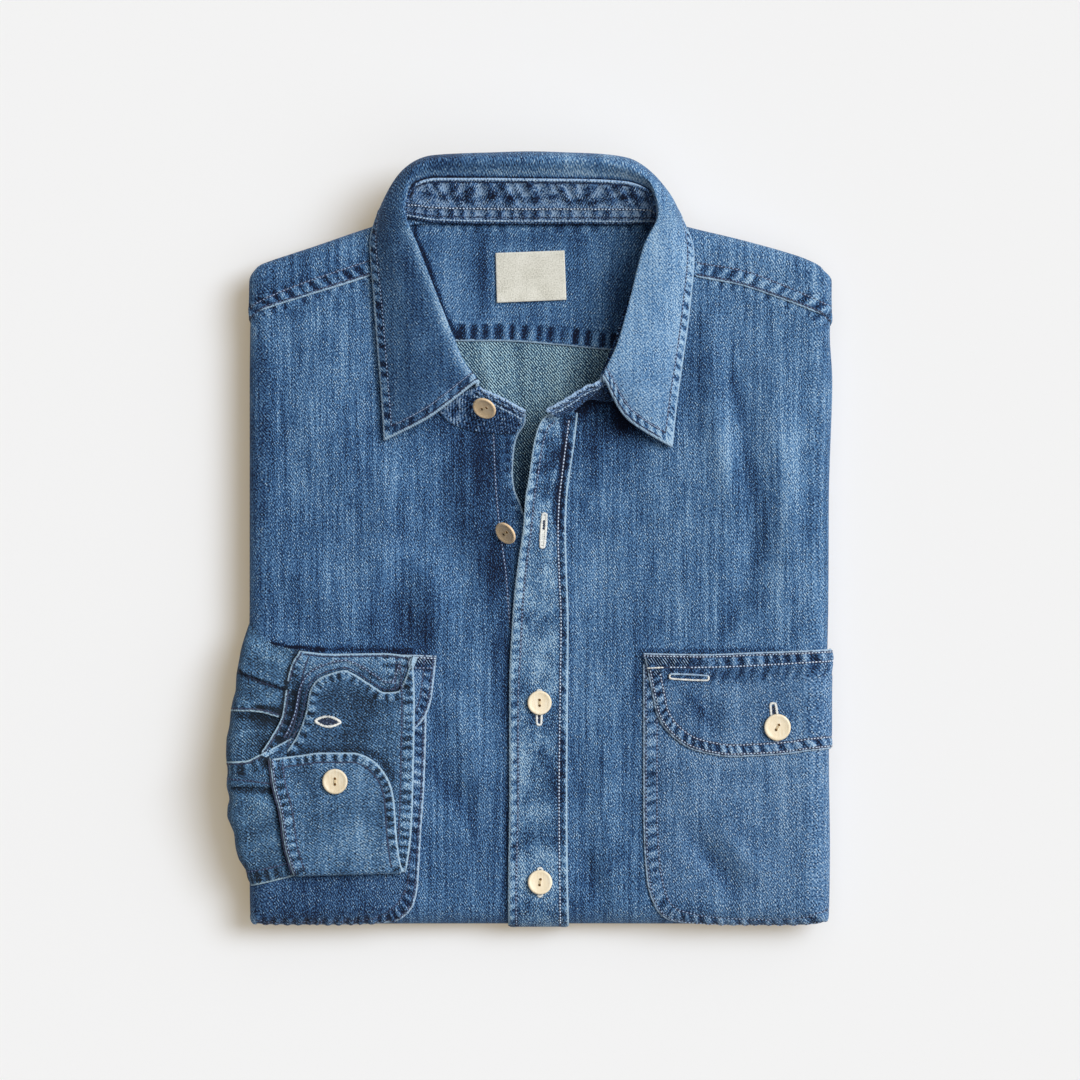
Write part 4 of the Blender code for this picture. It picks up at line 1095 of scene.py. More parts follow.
PLACKET_SEWN_L = [(555, 421), (547, 430), (542, 448), (538, 475), (534, 500), (531.5, 527),
                  (527, 561), (523, 600), (521, 640), (518, 708), (518, 795), (516, 904),
                  (516.5, 924)]
PLACKET_SEWN_R = [(569, 420), (566, 443), (562, 475), (559, 502), (558, 533), (559, 571),
                  (561, 622), (560, 698), (559, 795), (560, 904), (560.5, 924)]
POCKET_R_EDGE = [(643, 664), (643, 713), (643, 808), (644, 847.5), (647, 883), (652, 901),
                 (659.5, 913), (671, 920), (695, 923), (739, 924.4), (790, 924.3), (824, 923)]
POCKET_R_SEWN = [(657, 700), (657, 753), (657, 808), (659, 857), (662.5, 881), (669, 901),
                 (681, 910), (719, 916.5), (768, 918.5), (798, 917), (826, 911)]
POCKET_L_EDGE = [(427, 664), (426.5, 713), (424.5, 783), (421, 834), (418, 885), (414, 904),
                 (404, 916), (392, 921.5), (343, 924), (300, 924), (256, 923.5)]
POCKET_L_SEWN = [(412, 800), (408, 881), (400, 900), (384, 913), (363, 918.5), (302, 920.5),
                 (256, 920)]
FLAP_R_TOP = [(643, 653), (703, 654), (758, 652), (800, 650.5), (828, 649)]
FLAP_R_TOP_SEWN = [(647, 668), (715, 667), (780, 664), (828, 661)]
FLAP_R_EDGE = [(643, 653), (647, 669.5), (651, 689), (656, 713), (663.5, 727), (675, 739),
               (691, 749), (709, 754), (731, 757), (758, 756), (788, 754), (812, 750.5),
               (828, 749)]
FLAP_L_TOP = [(436.5, 655.7), (416, 654.8), (380, 654.5), (320, 654), (302, 654)]
FLAP_L_TOP_SEWN = [(433, 668), (416, 668), (380, 668), (320, 667), (304, 667)]
FLAP_L_EDGE = [(436.5, 655.7), (436, 661), (434, 681), (431, 702), (424.5, 718), (416, 728),
               (402, 740), (380, 750), (340, 754), (302, 753)]
CUFF_SEAM = [(299.5, 650.6), (298.4, 653), (292.7, 662), (287.5, 680), (285.8, 691.8),
             (282.4, 714.8), (270.9, 737.8), (262, 751.5)]
CUFF_SEAM_SEWN = [(308.8, 657), (304, 672), (300.7, 691.8), (293.8, 726.3), (288, 739)]
CUFF_TOP = [(299.5, 650.6), (331, 653.6), (384, 653), (412, 656)]
HAND_EDGE = [(413, 657), (415, 702), (414, 763), (413, 804), (411, 840), (406, 873)]
HOLE_END = [(413.5, 656), (410, 665), (404, 681), (398, 691), (386, 692), (369, 683),
            (355, 674), (345, 670), (331, 673), (318, 679), (310, 691), (306, 712),
            (298, 734), (288, 750)]
BUTTON_END = [(270.5, 758.5), (284, 756.5), (298, 755), (322, 752), (353, 752), (369, 757),
              (384, 771), (392, 787), (395, 804), (397, 834), (401, 863), (405, 872)]
CUFF_SEAM_LOW = [(270.5, 758.5), (273.5, 783), (281, 814), (285, 844.5), (294, 876)]
SLIT_TOP = [(230.5, 711), (246, 711), (259.5, 712), (278, 717)]
STRIP_TOP = [(226.5, 761), (246, 760), (260, 754)]
STRIP_SEWN = [(226.5, 778), (250, 780), (272, 783)]
SLEEVE_FOOT = [(249, 886.5), (270, 882), (294, 876)]
SLEEVE_FOOT_SEWN = [(245, 872), (268, 868), (290, 862)]


def offset_line(places, mm):
    """A measured line moved sideways on the cloth."""
    return beside(seen(places), mm)


def inset(outline_line, mm, trim=0.0):
    """A line mm inside an open edge line, to its right when mm is positive."""
    line = beside(outline_line, mm)
    k = np.concatenate([[0], np.cumsum(np.hypot(*np.diff(line, axis=0).T))]) * STEP
    return line[(k >= trim) & (k <= k[-1] - trim)]


ALL = []


def piece(cloth, node, slot, material, more_nodes=()):
    obj = cloth.build(MATERIALS[material])
    PIECES[cloth.name] = (obj, (node,) + tuple(more_nodes), slot, cloth.flat(), cloth.area())
    ALL.append(cloth)
    return obj


# ------------------------------------------------------------------ fronts
def line_of(*places):
    return smooth_line(list(places))


def make_fronts():
    edge = seen(EDGE_R)
    shoulder = inset(seen(SHOULDER_L), -3.0)
    outline = chain(edge, line_of((523.5, 513), (541, 545)), line_of((541, 545), (548, 600)),
                    line_of((548, 600), (548, 969)), line_of((548, 969), (227.3, 969)),
                    line_of((227.3, 969), (227.3, 325)), shoulder,
                    smooth_line([(372, 270), (387, 268), (391, 303), (404, 347), (425, 389),
                                 (452, 421), (480, 429), (505, 427), (520, 415)]))
    seam = seen(SHOULDER_L)
    # fading, with painted light and shade on creases among the patches
    fades = [(484, 482, 42, 66, 8, -0.16), (494, 566, 20, 30, 0, -0.15), (503, 645, 11, 42, 0, -0.15),
             (507, 700, 8, 40, 0, -0.12), (508, 840, 6, 70, 0, -0.12), (391, 478, 11, 34, 8, 0.10),
             (408, 616, 28, 36, 0, -0.15), (455, 796, 10, 34, -40, -0.10), (262, 430, 12, 110, 0, -0.07),
             (440, 400, 26, 60, -38, -0.14), (330, 400, 34, 80, 12, 0.05), (340, 560, 60, 40, 0, 0.03),
             (468, 720, 18, 60, 0, 0.06), (300, 330, 40, 18, -12, 0.06), (425, 640, 12, 18, 0, -0.12)]
    piece(Cloth("front_right_cloth", body, 0.0, 1.2, outline, worn=[edge],
                seams=[(seam, 0.0, 4.0, 11, 4.2, 0.22, 0.3), (edge, 0.8, 5.0, 12, 3.6, 0.12, 0.16)],
                stitches=[(seen(EDGE_R_SEWN), "pale")],
                # painted shadow: a black line where the sleeve and cuff meet the front and a softer one along the
                # cuff's top; painted highlight on the raised front edge, painted shade in a trough beside it
                painted_light_strokes=[(seen([(271, 643.5), (290, 647), (322, 649.3)]), 0.9, -1.0, 0.0),
                         (seen([(318, 649.3), (370, 649.6), (412, 652)]), 1.5, -0.40, 0.0),
                         (inset(edge, 1.6, 3), 1.2, 0.16, 0.2),
                         (seen([(492, 420), (489, 470), (493, 530), (500, 590)]), 6.0, -0.10, -0.4)],
                fades=[f[:5] + (f[5] * 1.75,) for f in fades], fine=1.3, coarse=1.9),
          "front_right", "denim", "denim")

    shoulder = inset(seen(SHOULDER_R), -3.0)
    outline = chain(smooth_line([(553, 969), (552, 700), (552, 560), (554, 500), (558, 460),
                                 (563, 428), (571, 403), (597, 387), (626, 366), (650, 338),
                                 (665, 306), (680, 268), (692, 272)]),
                    shoulder, line_of((851.7, 325), (851.7, 969)), line_of((851.7, 969), (553, 969)))
    # painted light and shade on the chest creases, painted shadow under the collar leaf over this front, and some
    # patches of fading
    fades = [(700, 350, 10, 62, 0, -0.09), (725, 455, 11, 42, 6, 0.09), (737, 392, 6, 22, -12, -0.10),
             (751, 468, 8, 46, -10, -0.13), (760, 545, 9, 42, 5, -0.12), (732, 622, 10, 28, 20, -0.09),
             (790, 470, 10, 70, 0, 0.08), (776, 600, 12, 40, 0, 0.06), (589, 882, 10, 28, 0, -0.11),
             (622, 424, 44, 22, -20, -0.18), (660, 400, 16, 50, 18, -0.12), (600, 620, 24, 120, 0, 0.04),
             (680, 560, 30, 60, 0, 0.03), (636, 700, 6, 60, 0, -0.07), (590, 470, 16, 50, 0, -0.06)]
    seam = seen(SHOULDER_R)
    piece(Cloth("front_left_cloth", body, 0.0, 1.2, outline,
                seams=[(seam, 0.0, 4.0, 21, 4.2, 0.22, 0.3)],
                # painted shadow under the collar stand's end and the collar leaf over this front, and painted shade
                # along the top of the flap
                painted_light_strokes=[(seen([(579, 406), (598, 398), (612, 396), (626, 418)]), 6.5, -0.60, 0.0),
                         (seen([(640, 652), (700, 651.5), (780, 649)]), 1.4, -0.30, 0.0)],
                fades=[f[:5] + (f[5] * 2.1,) for f in fades], fine=1.3, coarse=1.9),
          "front_left", "denim", "denim")

    left, right = seen(PLACKET_LEFT), seen(PLACKET_RIGHT)
    outline = chain(left, line_of((508, left[-1][1]), (508, 962)), line_of((508, 962), (569, 962)),
                    line_of((569, 962), (569, right[-1][1])), right[::-1],
                    line_of((578, 413), (566, 409), (555, 412)))
    fades = [(564, 470, 5, 60, 0, -0.26), (563, 600, 4, 70, 0, -0.22), (563, 800, 4, 110, 0, -0.16),
             (552, 455, 9, 14, 0, -0.22), (549, 500, 8, 14, 0, -0.16), (553, 430, 12, 20, 0, 0.14),
             (545, 478, 8, 12, 0, 0.14), (534, 522, 7, 9, 20, -0.20), (546, 470, 8, 6, -30, -0.16), (541, 498, 7, 7, 0, 0.16), (538, 575, 12, 16, 0, 0.12), (545, 600, 12, 10, 0, -0.12), (540, 560, 18, 30, 0, 0.0), (556, 620, 8, 60, 0, 0.05),
             (540, 800, 22, 90, 0, -0.10), (523, 740, 6, 60, 0, 0.10), (540, 735, 14, 16, 0, -0.08),
             (540, 660, 16, 20, 0, 0.06), (545, 905, 16, 16, 0, -0.06)]
    piece(Cloth("placket_cloth", placket_surf, LIFT_PLACKET, 1.6, outline, worn=[left, right],
                seams=[(left, 0.5, 5.2, 31, 3.9, 0.22, 0.26, 0.3), (right, 0.5, 5.0, 32, 3.9, 0.18, 0.22, 0.3)],
                stitches=[(seen(PLACKET_SEWN_L), "pale"), (seen(PLACKET_SEWN_R), "white")],
                # painted shade beside its right seam and in troughs, painted highlights on ridges and along its raised
                # left edge
                painted_light_strokes=[(seen(PLACKET_SEWN_R), 2.2, -0.26, -0.1),
                         (seen([(565, 424), (563, 450), (560, 480), (557, 520)]), 3.2, -0.36, -0.2),
                         (seen([(556.5, 421), (560.5, 440), (558, 462), (553, 482)]), 0.7, 0.34, 0.5),
                         (seen([(548, 500), (552, 530), (549, 560)]), 0.8, 0.20, 0.4),
                         (seen([(541, 470), (549, 480), (543, 496)]), 2.6, -0.26, -0.3),
                         (seen([(553, 488), (556, 500), (552, 512)]), 2.2, -0.22, -0.2),
                         (inset(left, -1.7, 2), 1.5, 0.20, 0.25)],
                fades=fades, fine=1.1), "placket_front", "denim", "denim_placket")


# -------------------------------------------------------------------- yoke
def make_yoke():
    us = np.linspace(227.3, 851.7, 640)
    uc = np.clip(us, 250, 829)
    low = curve([(227, 330), (243.8, 321)] + YOKE_EDGE[1:-1] + [(836.5, 323.5), (852, 332)], us)
    top = curve(SHOULDER, uc)
    roll = np.minimum(10.0 / STEP, (curve(YOKE_EDGE, uc) - top) * 0.8)
    far = top + roll - roll * 1.3 * 1.7
    outline = chain(np.stack([us, low], -1), np.stack([us[::-1], far[::-1]], -1))
    left, right = seen(SHOULDER_L), seen(SHOULDER_R)
    lines = [seen(SHOULDER_L_SEWN), seen(SHOULDER_R_SEWN)]
    inner = [inset(left, -1.5), inset(right, -1.5)]

    def shape(uv):
        d = np.minimum(along(left, uv)[0], along(right, uv)[0])
        return 0.45 * np.exp(-(d / 9.0) ** 2), 0 * d

    piece(Cloth("yoke_outer_cloth", body, 0.75, 1.3, outline, worn=[left, right],
                seams=[(left, 0.6, 7.6, 41, 4.4, 0.30, 0.42, 0.4), (right, 0.6, 7.6, 42, 4.6, 0.30, 0.42, -0.4),
                       (lines[0], 0.5, 3.6, 43, 3.6, 0.12, 0.12), (lines[1], 0.5, 3.6, 44, 3.6, 0.12, 0.12)],
                stitches=[(lines[0], "pale"), (lines[1], "pale"), (inner[0], "fleck"), (inner[1], "fleck")],
                fades=[(300, 285, 60, 10, -14, -0.16), (300, 262, 50, 16, -14, -0.08),
                       (760, 285, 50, 12, 14, 0.10),
                       (340, 250, 40, 12, -18, 0.04)],
                shape=shape, fine=1.25), "yoke_outer", "denim", "denim")


# ---------------------------------------------------------- pockets, flaps
def low_part(line, v):
    """The part of a line below a height."""
    return line[line[:, 1] > v]


def make_pockets():
    edge = seen(POCKET_R_EDGE)
    end = edge[-1]
    outline = chain(edge, line_of(tuple(end), (840, 936)), line_of((840, 936), (840, 664)),
                    line_of((840, 664), (643, 664)))
    sewn = [beside(edge, -1.7), seen(POCKET_R_SEWN)]
    # painted shade and highlight on a diagonal crease, among patches of fading
    fades = [(716, 866, 8, 34, -38, -0.22), (742, 850, 8, 34, -38, 0.10), (700, 790, 30, 20, 0, 0.04),
             (770, 800, 30, 50, 0, 0.06), (664, 800, 5, 90, 0, -0.07), (690, 906, 26, 6, 8, -0.10),
             (800, 860, 12, 50, 0, -0.04), (740, 775, 70, 10, 0, -0.07)]
    piece(Cloth("pocket_left_cloth", body, LIFT_POCKET, 1.1, outline, worn=[edge],
                seams=[(edge, 1.0, 7.2, 51, 4.4, 0.26, 0.55, 0.3)],
                stitches=[(sewn[0], "pale"), (sewn[1], "pale")], fades=fades, fine=1.2, coarse=1.5),
          "pocket_left", "denim", "denim_pocket")
    edge = seen(POCKET_L_EDGE)
    end = edge[-1]
    outline = chain(edge, line_of(tuple(end), (247, 938)), line_of((247, 938), (247, 664)),
                    line_of((247, 664), (427, 664)))
    piece(Cloth("pocket_right_cloth", body, LIFT_POCKET, 1.1, outline, worn=[edge],
                seams=[(edge, 0.6, 7.0, 52, 4.0, 0.28, 0.75, 0.3)],
                stitches=[(beside(edge, 1.7), "fleck"), (seen(POCKET_L_SEWN), "fleck")],
                fades=[(330, 896, 120, 30, 0, -0.20), (300, 915, 60, 8, 0, -0.08), (413, 780, 6, 80, 0, 0.06), (398, 895, 12, 16, 0, 0.05)],
                fine=1.2, coarse=2.0), "pocket_right", "denim", "denim_pocket")

    edge, top = seen(FLAP_R_EDGE), seen(FLAP_R_TOP)
    end, last = edge[-1], top[-1]
    outline = chain(edge, line_of(tuple(end), (840, 748)), line_of((840, 748), (840, 649)),
                    line_of((840, 649), tuple(last)), top[::-1])
    fades = [(672, 661, 30, 6.5, 0, -0.75), (662, 661, 20, 6.5, 0, -0.25), (770, 658, 50, 5, 0, -0.12), (694, 704, 5, 16, -40, -0.18),
             (704, 716, 5, 14, -40, -0.14), (740, 700, 30, 24, 0, 0.05), (777, 727, 20, 18, 0, -0.10),
             (800, 690, 18, 30, 0, 0.04), (690, 738, 26, 7, 24, -0.08), (660, 690, 6, 24, -14, -0.08), (745, 705, 110, 44, 0, -0.06), (735, 676, 80, 7, 0, -0.08)]
    piece(Cloth("flap_left_cloth", body, LIFT_FLAP, 1.6, outline, worn=[edge, top],
                seams=[(edge, 1.0, 6.4, 61, 3.6, 0.38, 0.45, 0.4), (top, 1.0, 7.4, 62, 4.4, 0.24, 0.3),
                       (seen(FLAP_R_TOP_SEWN), 0.6, 8.5, 64, 4.4, 0.12, 0.35, 0.5)],
                painted_light_strokes=[(seen([(660, 673), (715, 672), (780, 669), (828, 666)]), 4.5, -0.17, 0.0)],
                stitches=[(low_part(beside(edge, -1.7), 668), "fine"),
                          (low_part(beside(edge, -6.7), 672), "fine"),
                          (beside(top, 1.6), "fine"), (seen([(690, 667.4)] + FLAP_R_TOP_SEWN[1:]), "white"),
                          (seen([(647, 668.2), (668, 667.2)]), "bold"), (seen([(669, 667.2), (690, 667.4)]), "white")],
                fades=fades, fine=1.1), "flap_left", "denim", "denim_pocket")
    edge, top = seen(FLAP_L_EDGE), seen(FLAP_L_TOP)
    outline = chain(edge, line_of(tuple(edge[-1]), tuple(top[-1])), top[::-1])
    piece(Cloth("flap_right_cloth", body, LIFT_FLAP - 0.6, 1.4, outline, worn=[edge, top],
                seams=[(edge, 1.0, 6.0, 63, 3.8, 0.30, 0.34, 0.4)],
                stitches=[(beside(edge, 1.7), "fleck"), (beside(edge, 6.5), "fleck"),
                          (beside(top, -1.6), "white"), (seen(FLAP_L_TOP_SEWN), "pale")],
                fades=[(425, 661, 24, 7, 0, -0.75)], fine=1.3), "flap_right", "denim", "denim_pocket")


# ---------------------------------------------------------- sleeve and cuff
def make_sleeve():
    far = 170.0                     # past its fold and back under the packet
    top = np.concatenate([line_of((far, 622), (224, 622))[:-1],
                          sleeve_line([(248.5, 622), (250, 625), (262, 634), (275.5, 645),
                                       (288, 648), (303, 650)])])
    slit = sleeve_line(SLIT_TOP)
    slit = np.concatenate([line_of((far, 709), tuple(slit[0]))[:-1], slit])
    right = smooth_line([(305, 652), (300, 664), (294, 682), (292, 694), (289, 712), (284, 718)])
    outline = chain(top, right, slit[::-1], line_of((far, 709), (far, 622)))
    blend_line = np.concatenate([line_of((far, 622), (224, 622))[:-1],
                                 sleeve_line([(248.5, 622), (250, 625), (262, 634), (274, 641)])])
    crease_line = sleeve_line([(237.5, 670), (262, 681), (284.8, 688.5)])
    tuck = smooth_line([(251.5, 627.6), (260.6, 633)])

    def shape(uv):
        d = along(blend_line, uv, 30.0)[0]
        lift = -LIFT_SLEEVE * np.exp(-(d / 9.0) ** 2)
        d = along(crease_line, uv)[0]
        side = np.sign((uv[:, 1] - 670) - (uv[:, 0] - 236.5) * 18.5 / 48.3)
        lift = lift + np.where(side < 0, 1.6 * np.exp(-(d / 4.0) ** 2), -1.0 * np.exp(-(d / 2.2) ** 2))
        # painted highlight on the ridge above the crease, painted shade in it, and painted shade in the tuck near the
        # top
        tone = np.where(side < 0, 0.22 * smooth(d / 1.2) * np.exp(-(d / 2.6) ** 2), 0) - 0.42 * np.exp(-(d / 1.7) ** 2)
        d = along(tuck, uv)[0]
        return lift - 0.8 * np.exp(-(d / 1.4) ** 2), tone - 0.2 * np.exp(-(d / 1.2) ** 2)

    beside_cuff = smooth_line(CUFF_SEAM)

    piece(Cloth("sleeve_upper_cloth", sleeve_surf, LIFT_SLEEVE - 0.4, 1.2, outline, worn=[slit],
                seams=[(slit, 0.6, 4.0, 71, 3.6, 0.20, 0.26)],
                stitches=[(beside(slit, -1.6), "ghost"), (beside(crease_line, 0.5), "line")],
                # painted shadow beside the cuff's seam and in the V at the slit's end, painted highlights on ridges
                # above the slit and near the top, painted shade in a trough
                painted_light_strokes=[(beside_cuff, 1.7, -0.60, -0.5),
                         (sleeve_line([(258, 707), (270, 708), (285, 714)]), 1.7, -0.60, -0.5),
                         (sleeve_line([(252, 704), (268, 701), (284, 690)]), 3.0, 0.10, 0.7),
                         (sleeve_line([(238, 700), (252, 703)]), 2.0, 0.12, 0.4),
                         (sleeve_line([(262, 650), (274, 656), (286, 664)]), 4.0, 0.12, 0.6),
                         (sleeve_line([(244, 650), (252, 664)]), 4.0, -0.08, -0.5)],
                fades=[(262, 700, 20, 16, 0, -0.06), (250, 655, 14, 18, 0, 0.03)],
                shape=shape, fine=1.1), "sleeve", "denim", "denim_sleeve")

    outline = chain(line_of((far, 700), (287, 700)), line_of((287, 700), (297, 735)),
                    line_of((297, 735), (285, 775)), line_of((285, 775), (far, 778)),
                    line_of((far, 778), (far, 700)))

    def hollow(uv):
        deep = smooth((uv[:, 1] - 711) / 8) * smooth((762 - uv[:, 1]) / 14)
        return -0.9 * deep, 0 * deep

    piece(Cloth("sleeve_inside_cloth", sleeve_surf, LIFT_SLEEVE - 2.0, 1.0, outline,
                # painted shade in its troughs and under the slit's edge, and a painted highlight on a ridge
                fades=[(270, 722, 18, 8, 12, -0.22), (240, 735, 12, 20, 0, 0.04), (272, 750, 12, 6, -10, -0.18)],
                painted_light_strokes=[(sleeve_line([(238, 716), (256, 716), (276, 721)]), 2.0, -0.34, -0.3),
                         (sleeve_line([(256, 718), (263, 728), (262, 742)]), 4.0, -0.16, -0.6),
                         (sleeve_line([(236, 737), (248, 731), (262, 730)]), 1.0, 0.22, 0.7),
                         (sleeve_line([(284, 718), (276, 735), (264, 750)]), 2.2, -0.42, -0.4)],
                shape=hollow, fine=1.3), "sleeve", "denim", "denim_sleeve_inside")

    strip = sleeve_line(STRIP_TOP)
    strip = np.concatenate([line_of((far, 763), tuple(strip[0]))[:-1], strip])
    frayed = smooth_line([(260, 754), (264, 752), (278, 744.5), (293.8, 736.6)])
    seam_low = seen(CUFF_SEAM_LOW)
    outline = chain(strip, smooth_line([(260, 754), (266, 756), (276, 762), (279, 772), (283, 786)]),
                    smooth_line([(283, 787), (250, 786), (far, 786)]), line_of((far, 786), (far, 763)))
    sewn = sleeve_line(STRIP_SEWN)
    sewn = np.concatenate([line_of((far + 8, 776), tuple(sewn[0]))[:-1], sewn])
    piece(Cloth("sleeve_placket_cloth", sleeve_surf, LIFT_SLEEVE + 1.5, 1.3, outline, worn=[strip],
                seams=[(strip, 0.6, 8.0, 72, 3.4, 0.26, 0.3)],
                stitches=[(beside(strip, 1.5), "ghost"), (sewn, "fleck")],
                # painted shadow beside the cuff's seams
                painted_light_strokes=[(beside_cuff, 1.6, -0.4, 0.0), (smooth_line(CUFF_SEAM_LOW), 2.0, -0.5, 0.0)],
                fades=[(250, 770, 22, 5, 0, -0.08)], fine=1.05, tuck=1.4),
          "sleeve_placket", "denim", "denim_sleeve")

    foot = sleeve_line(SLEEVE_FOOT)
    foot = np.concatenate([line_of((far, 890), tuple(foot[0]))[:-1], foot])
    right = smooth_line([(287, 777), (291, 814), (294, 844), (302, 874)])
    outline = chain(line_of((far, 777), (287, 777)), right, foot[::-1], line_of((far, 890), (far, 777)))

    def low(uv):
        d = along(foot, uv)[0]
        return -1.9 * np.exp(-(d / 3.6) ** 2), -0.10 * np.exp(-(np.abs(d - 5) / 5) ** 2)

    piece(Cloth("sleeve_lower_cloth", sleeve_surf, LIFT_SLEEVE - 0.2, 1.2, outline, worn=[foot],
                seams=[(foot, 0.8, 7.4, 73, 4.0, 0.28, 0.3)],
                stitches=[(sleeve_line(SLEEVE_FOOT_SEWN), "fleck")],
                # painted shadow beside the cuff and below the strip above, painted highlight and shade on ridges and
                # troughs
                painted_light_strokes=[(smooth_line(CUFF_SEAM_LOW), 1.8, -0.65, -0.4),
                         (sleeve_line([(234, 788), (254, 789), (273, 791)]), 1.8, -0.40, -0.5),
                         (sleeve_line([(236, 797), (256, 799), (270, 806)]), 3.0, 0.10, 0.6),
                         (sleeve_line([(244, 836), (262, 826), (278, 822)]), 4.0, -0.10, -0.7),
                         (sleeve_line([(240, 850), (262, 842), (280, 840)]), 4.0, 0.07, 0.7)],
                fades=[(255, 815, 16, 20, 0, 0.05), (240, 850, 10, 16, 0, -0.05)],
                shape=low, fine=1.15), "sleeve", "denim", "denim_sleeve")

    # strip of the slit's other edge, frayed and pale
    a = smooth_line([(260.6, 754), (276, 745.8), (293.8, 736.6)])
    b = smooth_line([(296, 741), (279, 751), (263, 759)])
    outline = chain(a, b)
    piece(Cloth("slit_edge_cloth", sleeve_surf, LIFT_SLEEVE + 0.3, 1.0, outline, worn=[a],
                seams=[(a, 0.2, 3.0, 74, 2.4, 0.2, 0.2)], fades=[(270, 752, 9, 6, -28, 0.55), (284, 743, 12, 6, -28, -0.10)], fine=0.8,
                tuck=0.8),
          "sleeve", "denim", "denim_cuff")


def make_cuff():
    seam = smooth_line(CUFF_SEAM)
    seam_low = smooth_line(CUFF_SEAM_LOW)
    hand = smooth_line(HAND_EDGE)
    top = smooth_line(CUFF_TOP)
    outline = chain(seam, smooth_line([(262, 751.5), (266, 756), (270.5, 758.5)]), seam_low,
                    smooth_line([(294, 877), (350, 876), (406, 874)]), hand[::-1], top[::-1])
    under_hand = smooth_line([(396.6, 658), (396, 672), (395.5, 688)])
    hole_line = smooth_line(HOLE_END)
    piece(Cloth("cuff_under_cloth", cuff_surf(LIFT_CUFF, 3.0, 3.6), LIFT_CUFF, 1.5, outline,
                worn=[seam, hand, top, seam_low],
                seams=[(seam, 0.5, 5.6, 81, 3.4, 0.24, 0.3), (top, 0.5, 3.5, 82, 4.5, 0.14, 0.16),
                       (under_hand, 0.5, 8.0, 83, 4.2, 0.30, 0.34)],
                stitches=[(inset(seam, -1.6), "ghost"), (smooth_line(CUFF_SEAM_SEWN), "ghost"),
                          (under_hand, "fleck"), (inset(top, 1.6, 2), "ghost")],
                # painted shadow cast by the buttonhole end along its edge and near the seam, painted shade in a trough
                # by the seam
                painted_light_strokes=[(smooth_line([(296, 690), (295, 712), (289, 733), (281, 742)]), 4.5, -0.14, -0.5),
                         (inset(hole_line, -1.2), 1.6, -0.40, 0.0)],
                fades=[(293, 714, 8, 17, 14, -0.46), (281, 741, 11, 7, -30, -0.44), (299, 690, 7, 22, 10, -0.30),
                       (350, 662, 46, 9, 0, 0.19)], fine=1.1),
          "cuff_under", "denim", "denim_cuff")

    hole = smooth_line(HOLE_END)
    outline = chain(hole, smooth_line([(288, 750), (284, 790), (287, 840), (296, 886)]),
                    line_of((296, 886), (406, 884)), line_of((406, 884), (406, 873)), hand[::-1])

    def dish(uv):
        u, v = uv[:, 0], uv[:, 1]
        bowl = np.exp(-(((u - 364) / 26) ** 2 + ((v - 716) / 27) ** 2))
        tail = smooth((v - 742) / 16)
        # painted shade in the sunk bowl
        return -1.2 * bowl - 0.7 * tail, -0.20 * bowl

    piece(Cloth("cuff_buttonhole_cloth", cuff_surf(LIFT_HOLE_END, 3.3, 3.6), LIFT_HOLE_END, 1.7, outline,
                worn=[hole, hand],
                seams=[(hole, 0.7, 5.2, 84, 3.5, 0.34, 0.42), (hand, 0.7, 6.4, 85, 3.6, 0.30, 0.36)],
                stitches=[(inset(hole, 1.5, 1), "line"), (inset(hole, 5.6, 5), "pale"),
                          (inset(hand, 7.2, 4), "fleck")],
                # painted highlight on the ridge inside its edge, painted shade along the edge of the button end that
                # lies on it, in a trough and about the bowl
                painted_light_strokes=[(inset(hole, 3.6, 1), 2.0, 0.13, 0.2),
                         (smooth_line([(300, 752), (350, 749), (378, 756), (392, 775)]), 2.4, -0.35, 0.0),
                         (smooth_line([(322, 696), (345, 690), (372, 700), (398, 706)]), 3.0, -0.10, -0.4)],
                fades=[(355, 718, 48, 40, 0, -0.06), (330, 700, 10, 12, 0, -0.10), (340, 738, 34, 8, -6, -0.14), (318, 722, 14, 20, 10, -0.10)],
                shape=dish, fine=1.05), "cuff_buttonhole_end", "denim", "denim_cuff")

    end = smooth_line(BUTTON_END)
    outline = chain(end, line_of((405, 872), (406, 884)), line_of((406, 884), (297, 886)),
                    line_of((297, 886), (294, 876)), seam_low[::-1])

    def soft(uv):
        u, v = uv[:, 0], uv[:, 1]
        return (0.5 * np.exp(-(((u - 330) / 40) ** 2 + ((v - 820) / 26) ** 2))
                - 0.5 * np.exp(-(((u - 335) / 20) ** 2 + ((v - 782) / 12) ** 2))), 0 * u

    foot = smooth_line([(294, 875), (350, 873.5), (405, 872)])
    piece(Cloth("cuff_button_cloth", cuff_surf(LIFT_BUTTON_END, 3.6, 3.8), LIFT_BUTTON_END, 1.7, outline,
                worn=[end, seam_low],
                seams=[(end, 0.7, 5.2, 86, 3.5, 0.34, 0.40), (seam_low, 0.5, 7.0, 87, 3.8, 0.28, 0.34)],
                stitches=[(inset(end, 5.4, 5), "ghost"), (inset(seam_low, -1.5), "pale"),
                          (inset(seam_low, 0.5), "line"),
                          (inset(seam_low, -7.0, 2), "fleck")],
                fades=[(340, 840, 40, 18, 0, 0.07), (300, 770, 12, 10, 0, -0.10), (380, 840, 10, 24, 0, -0.05)],
                shape=soft, fine=1.05), "cuff_button_end", "denim", "denim_cuff")


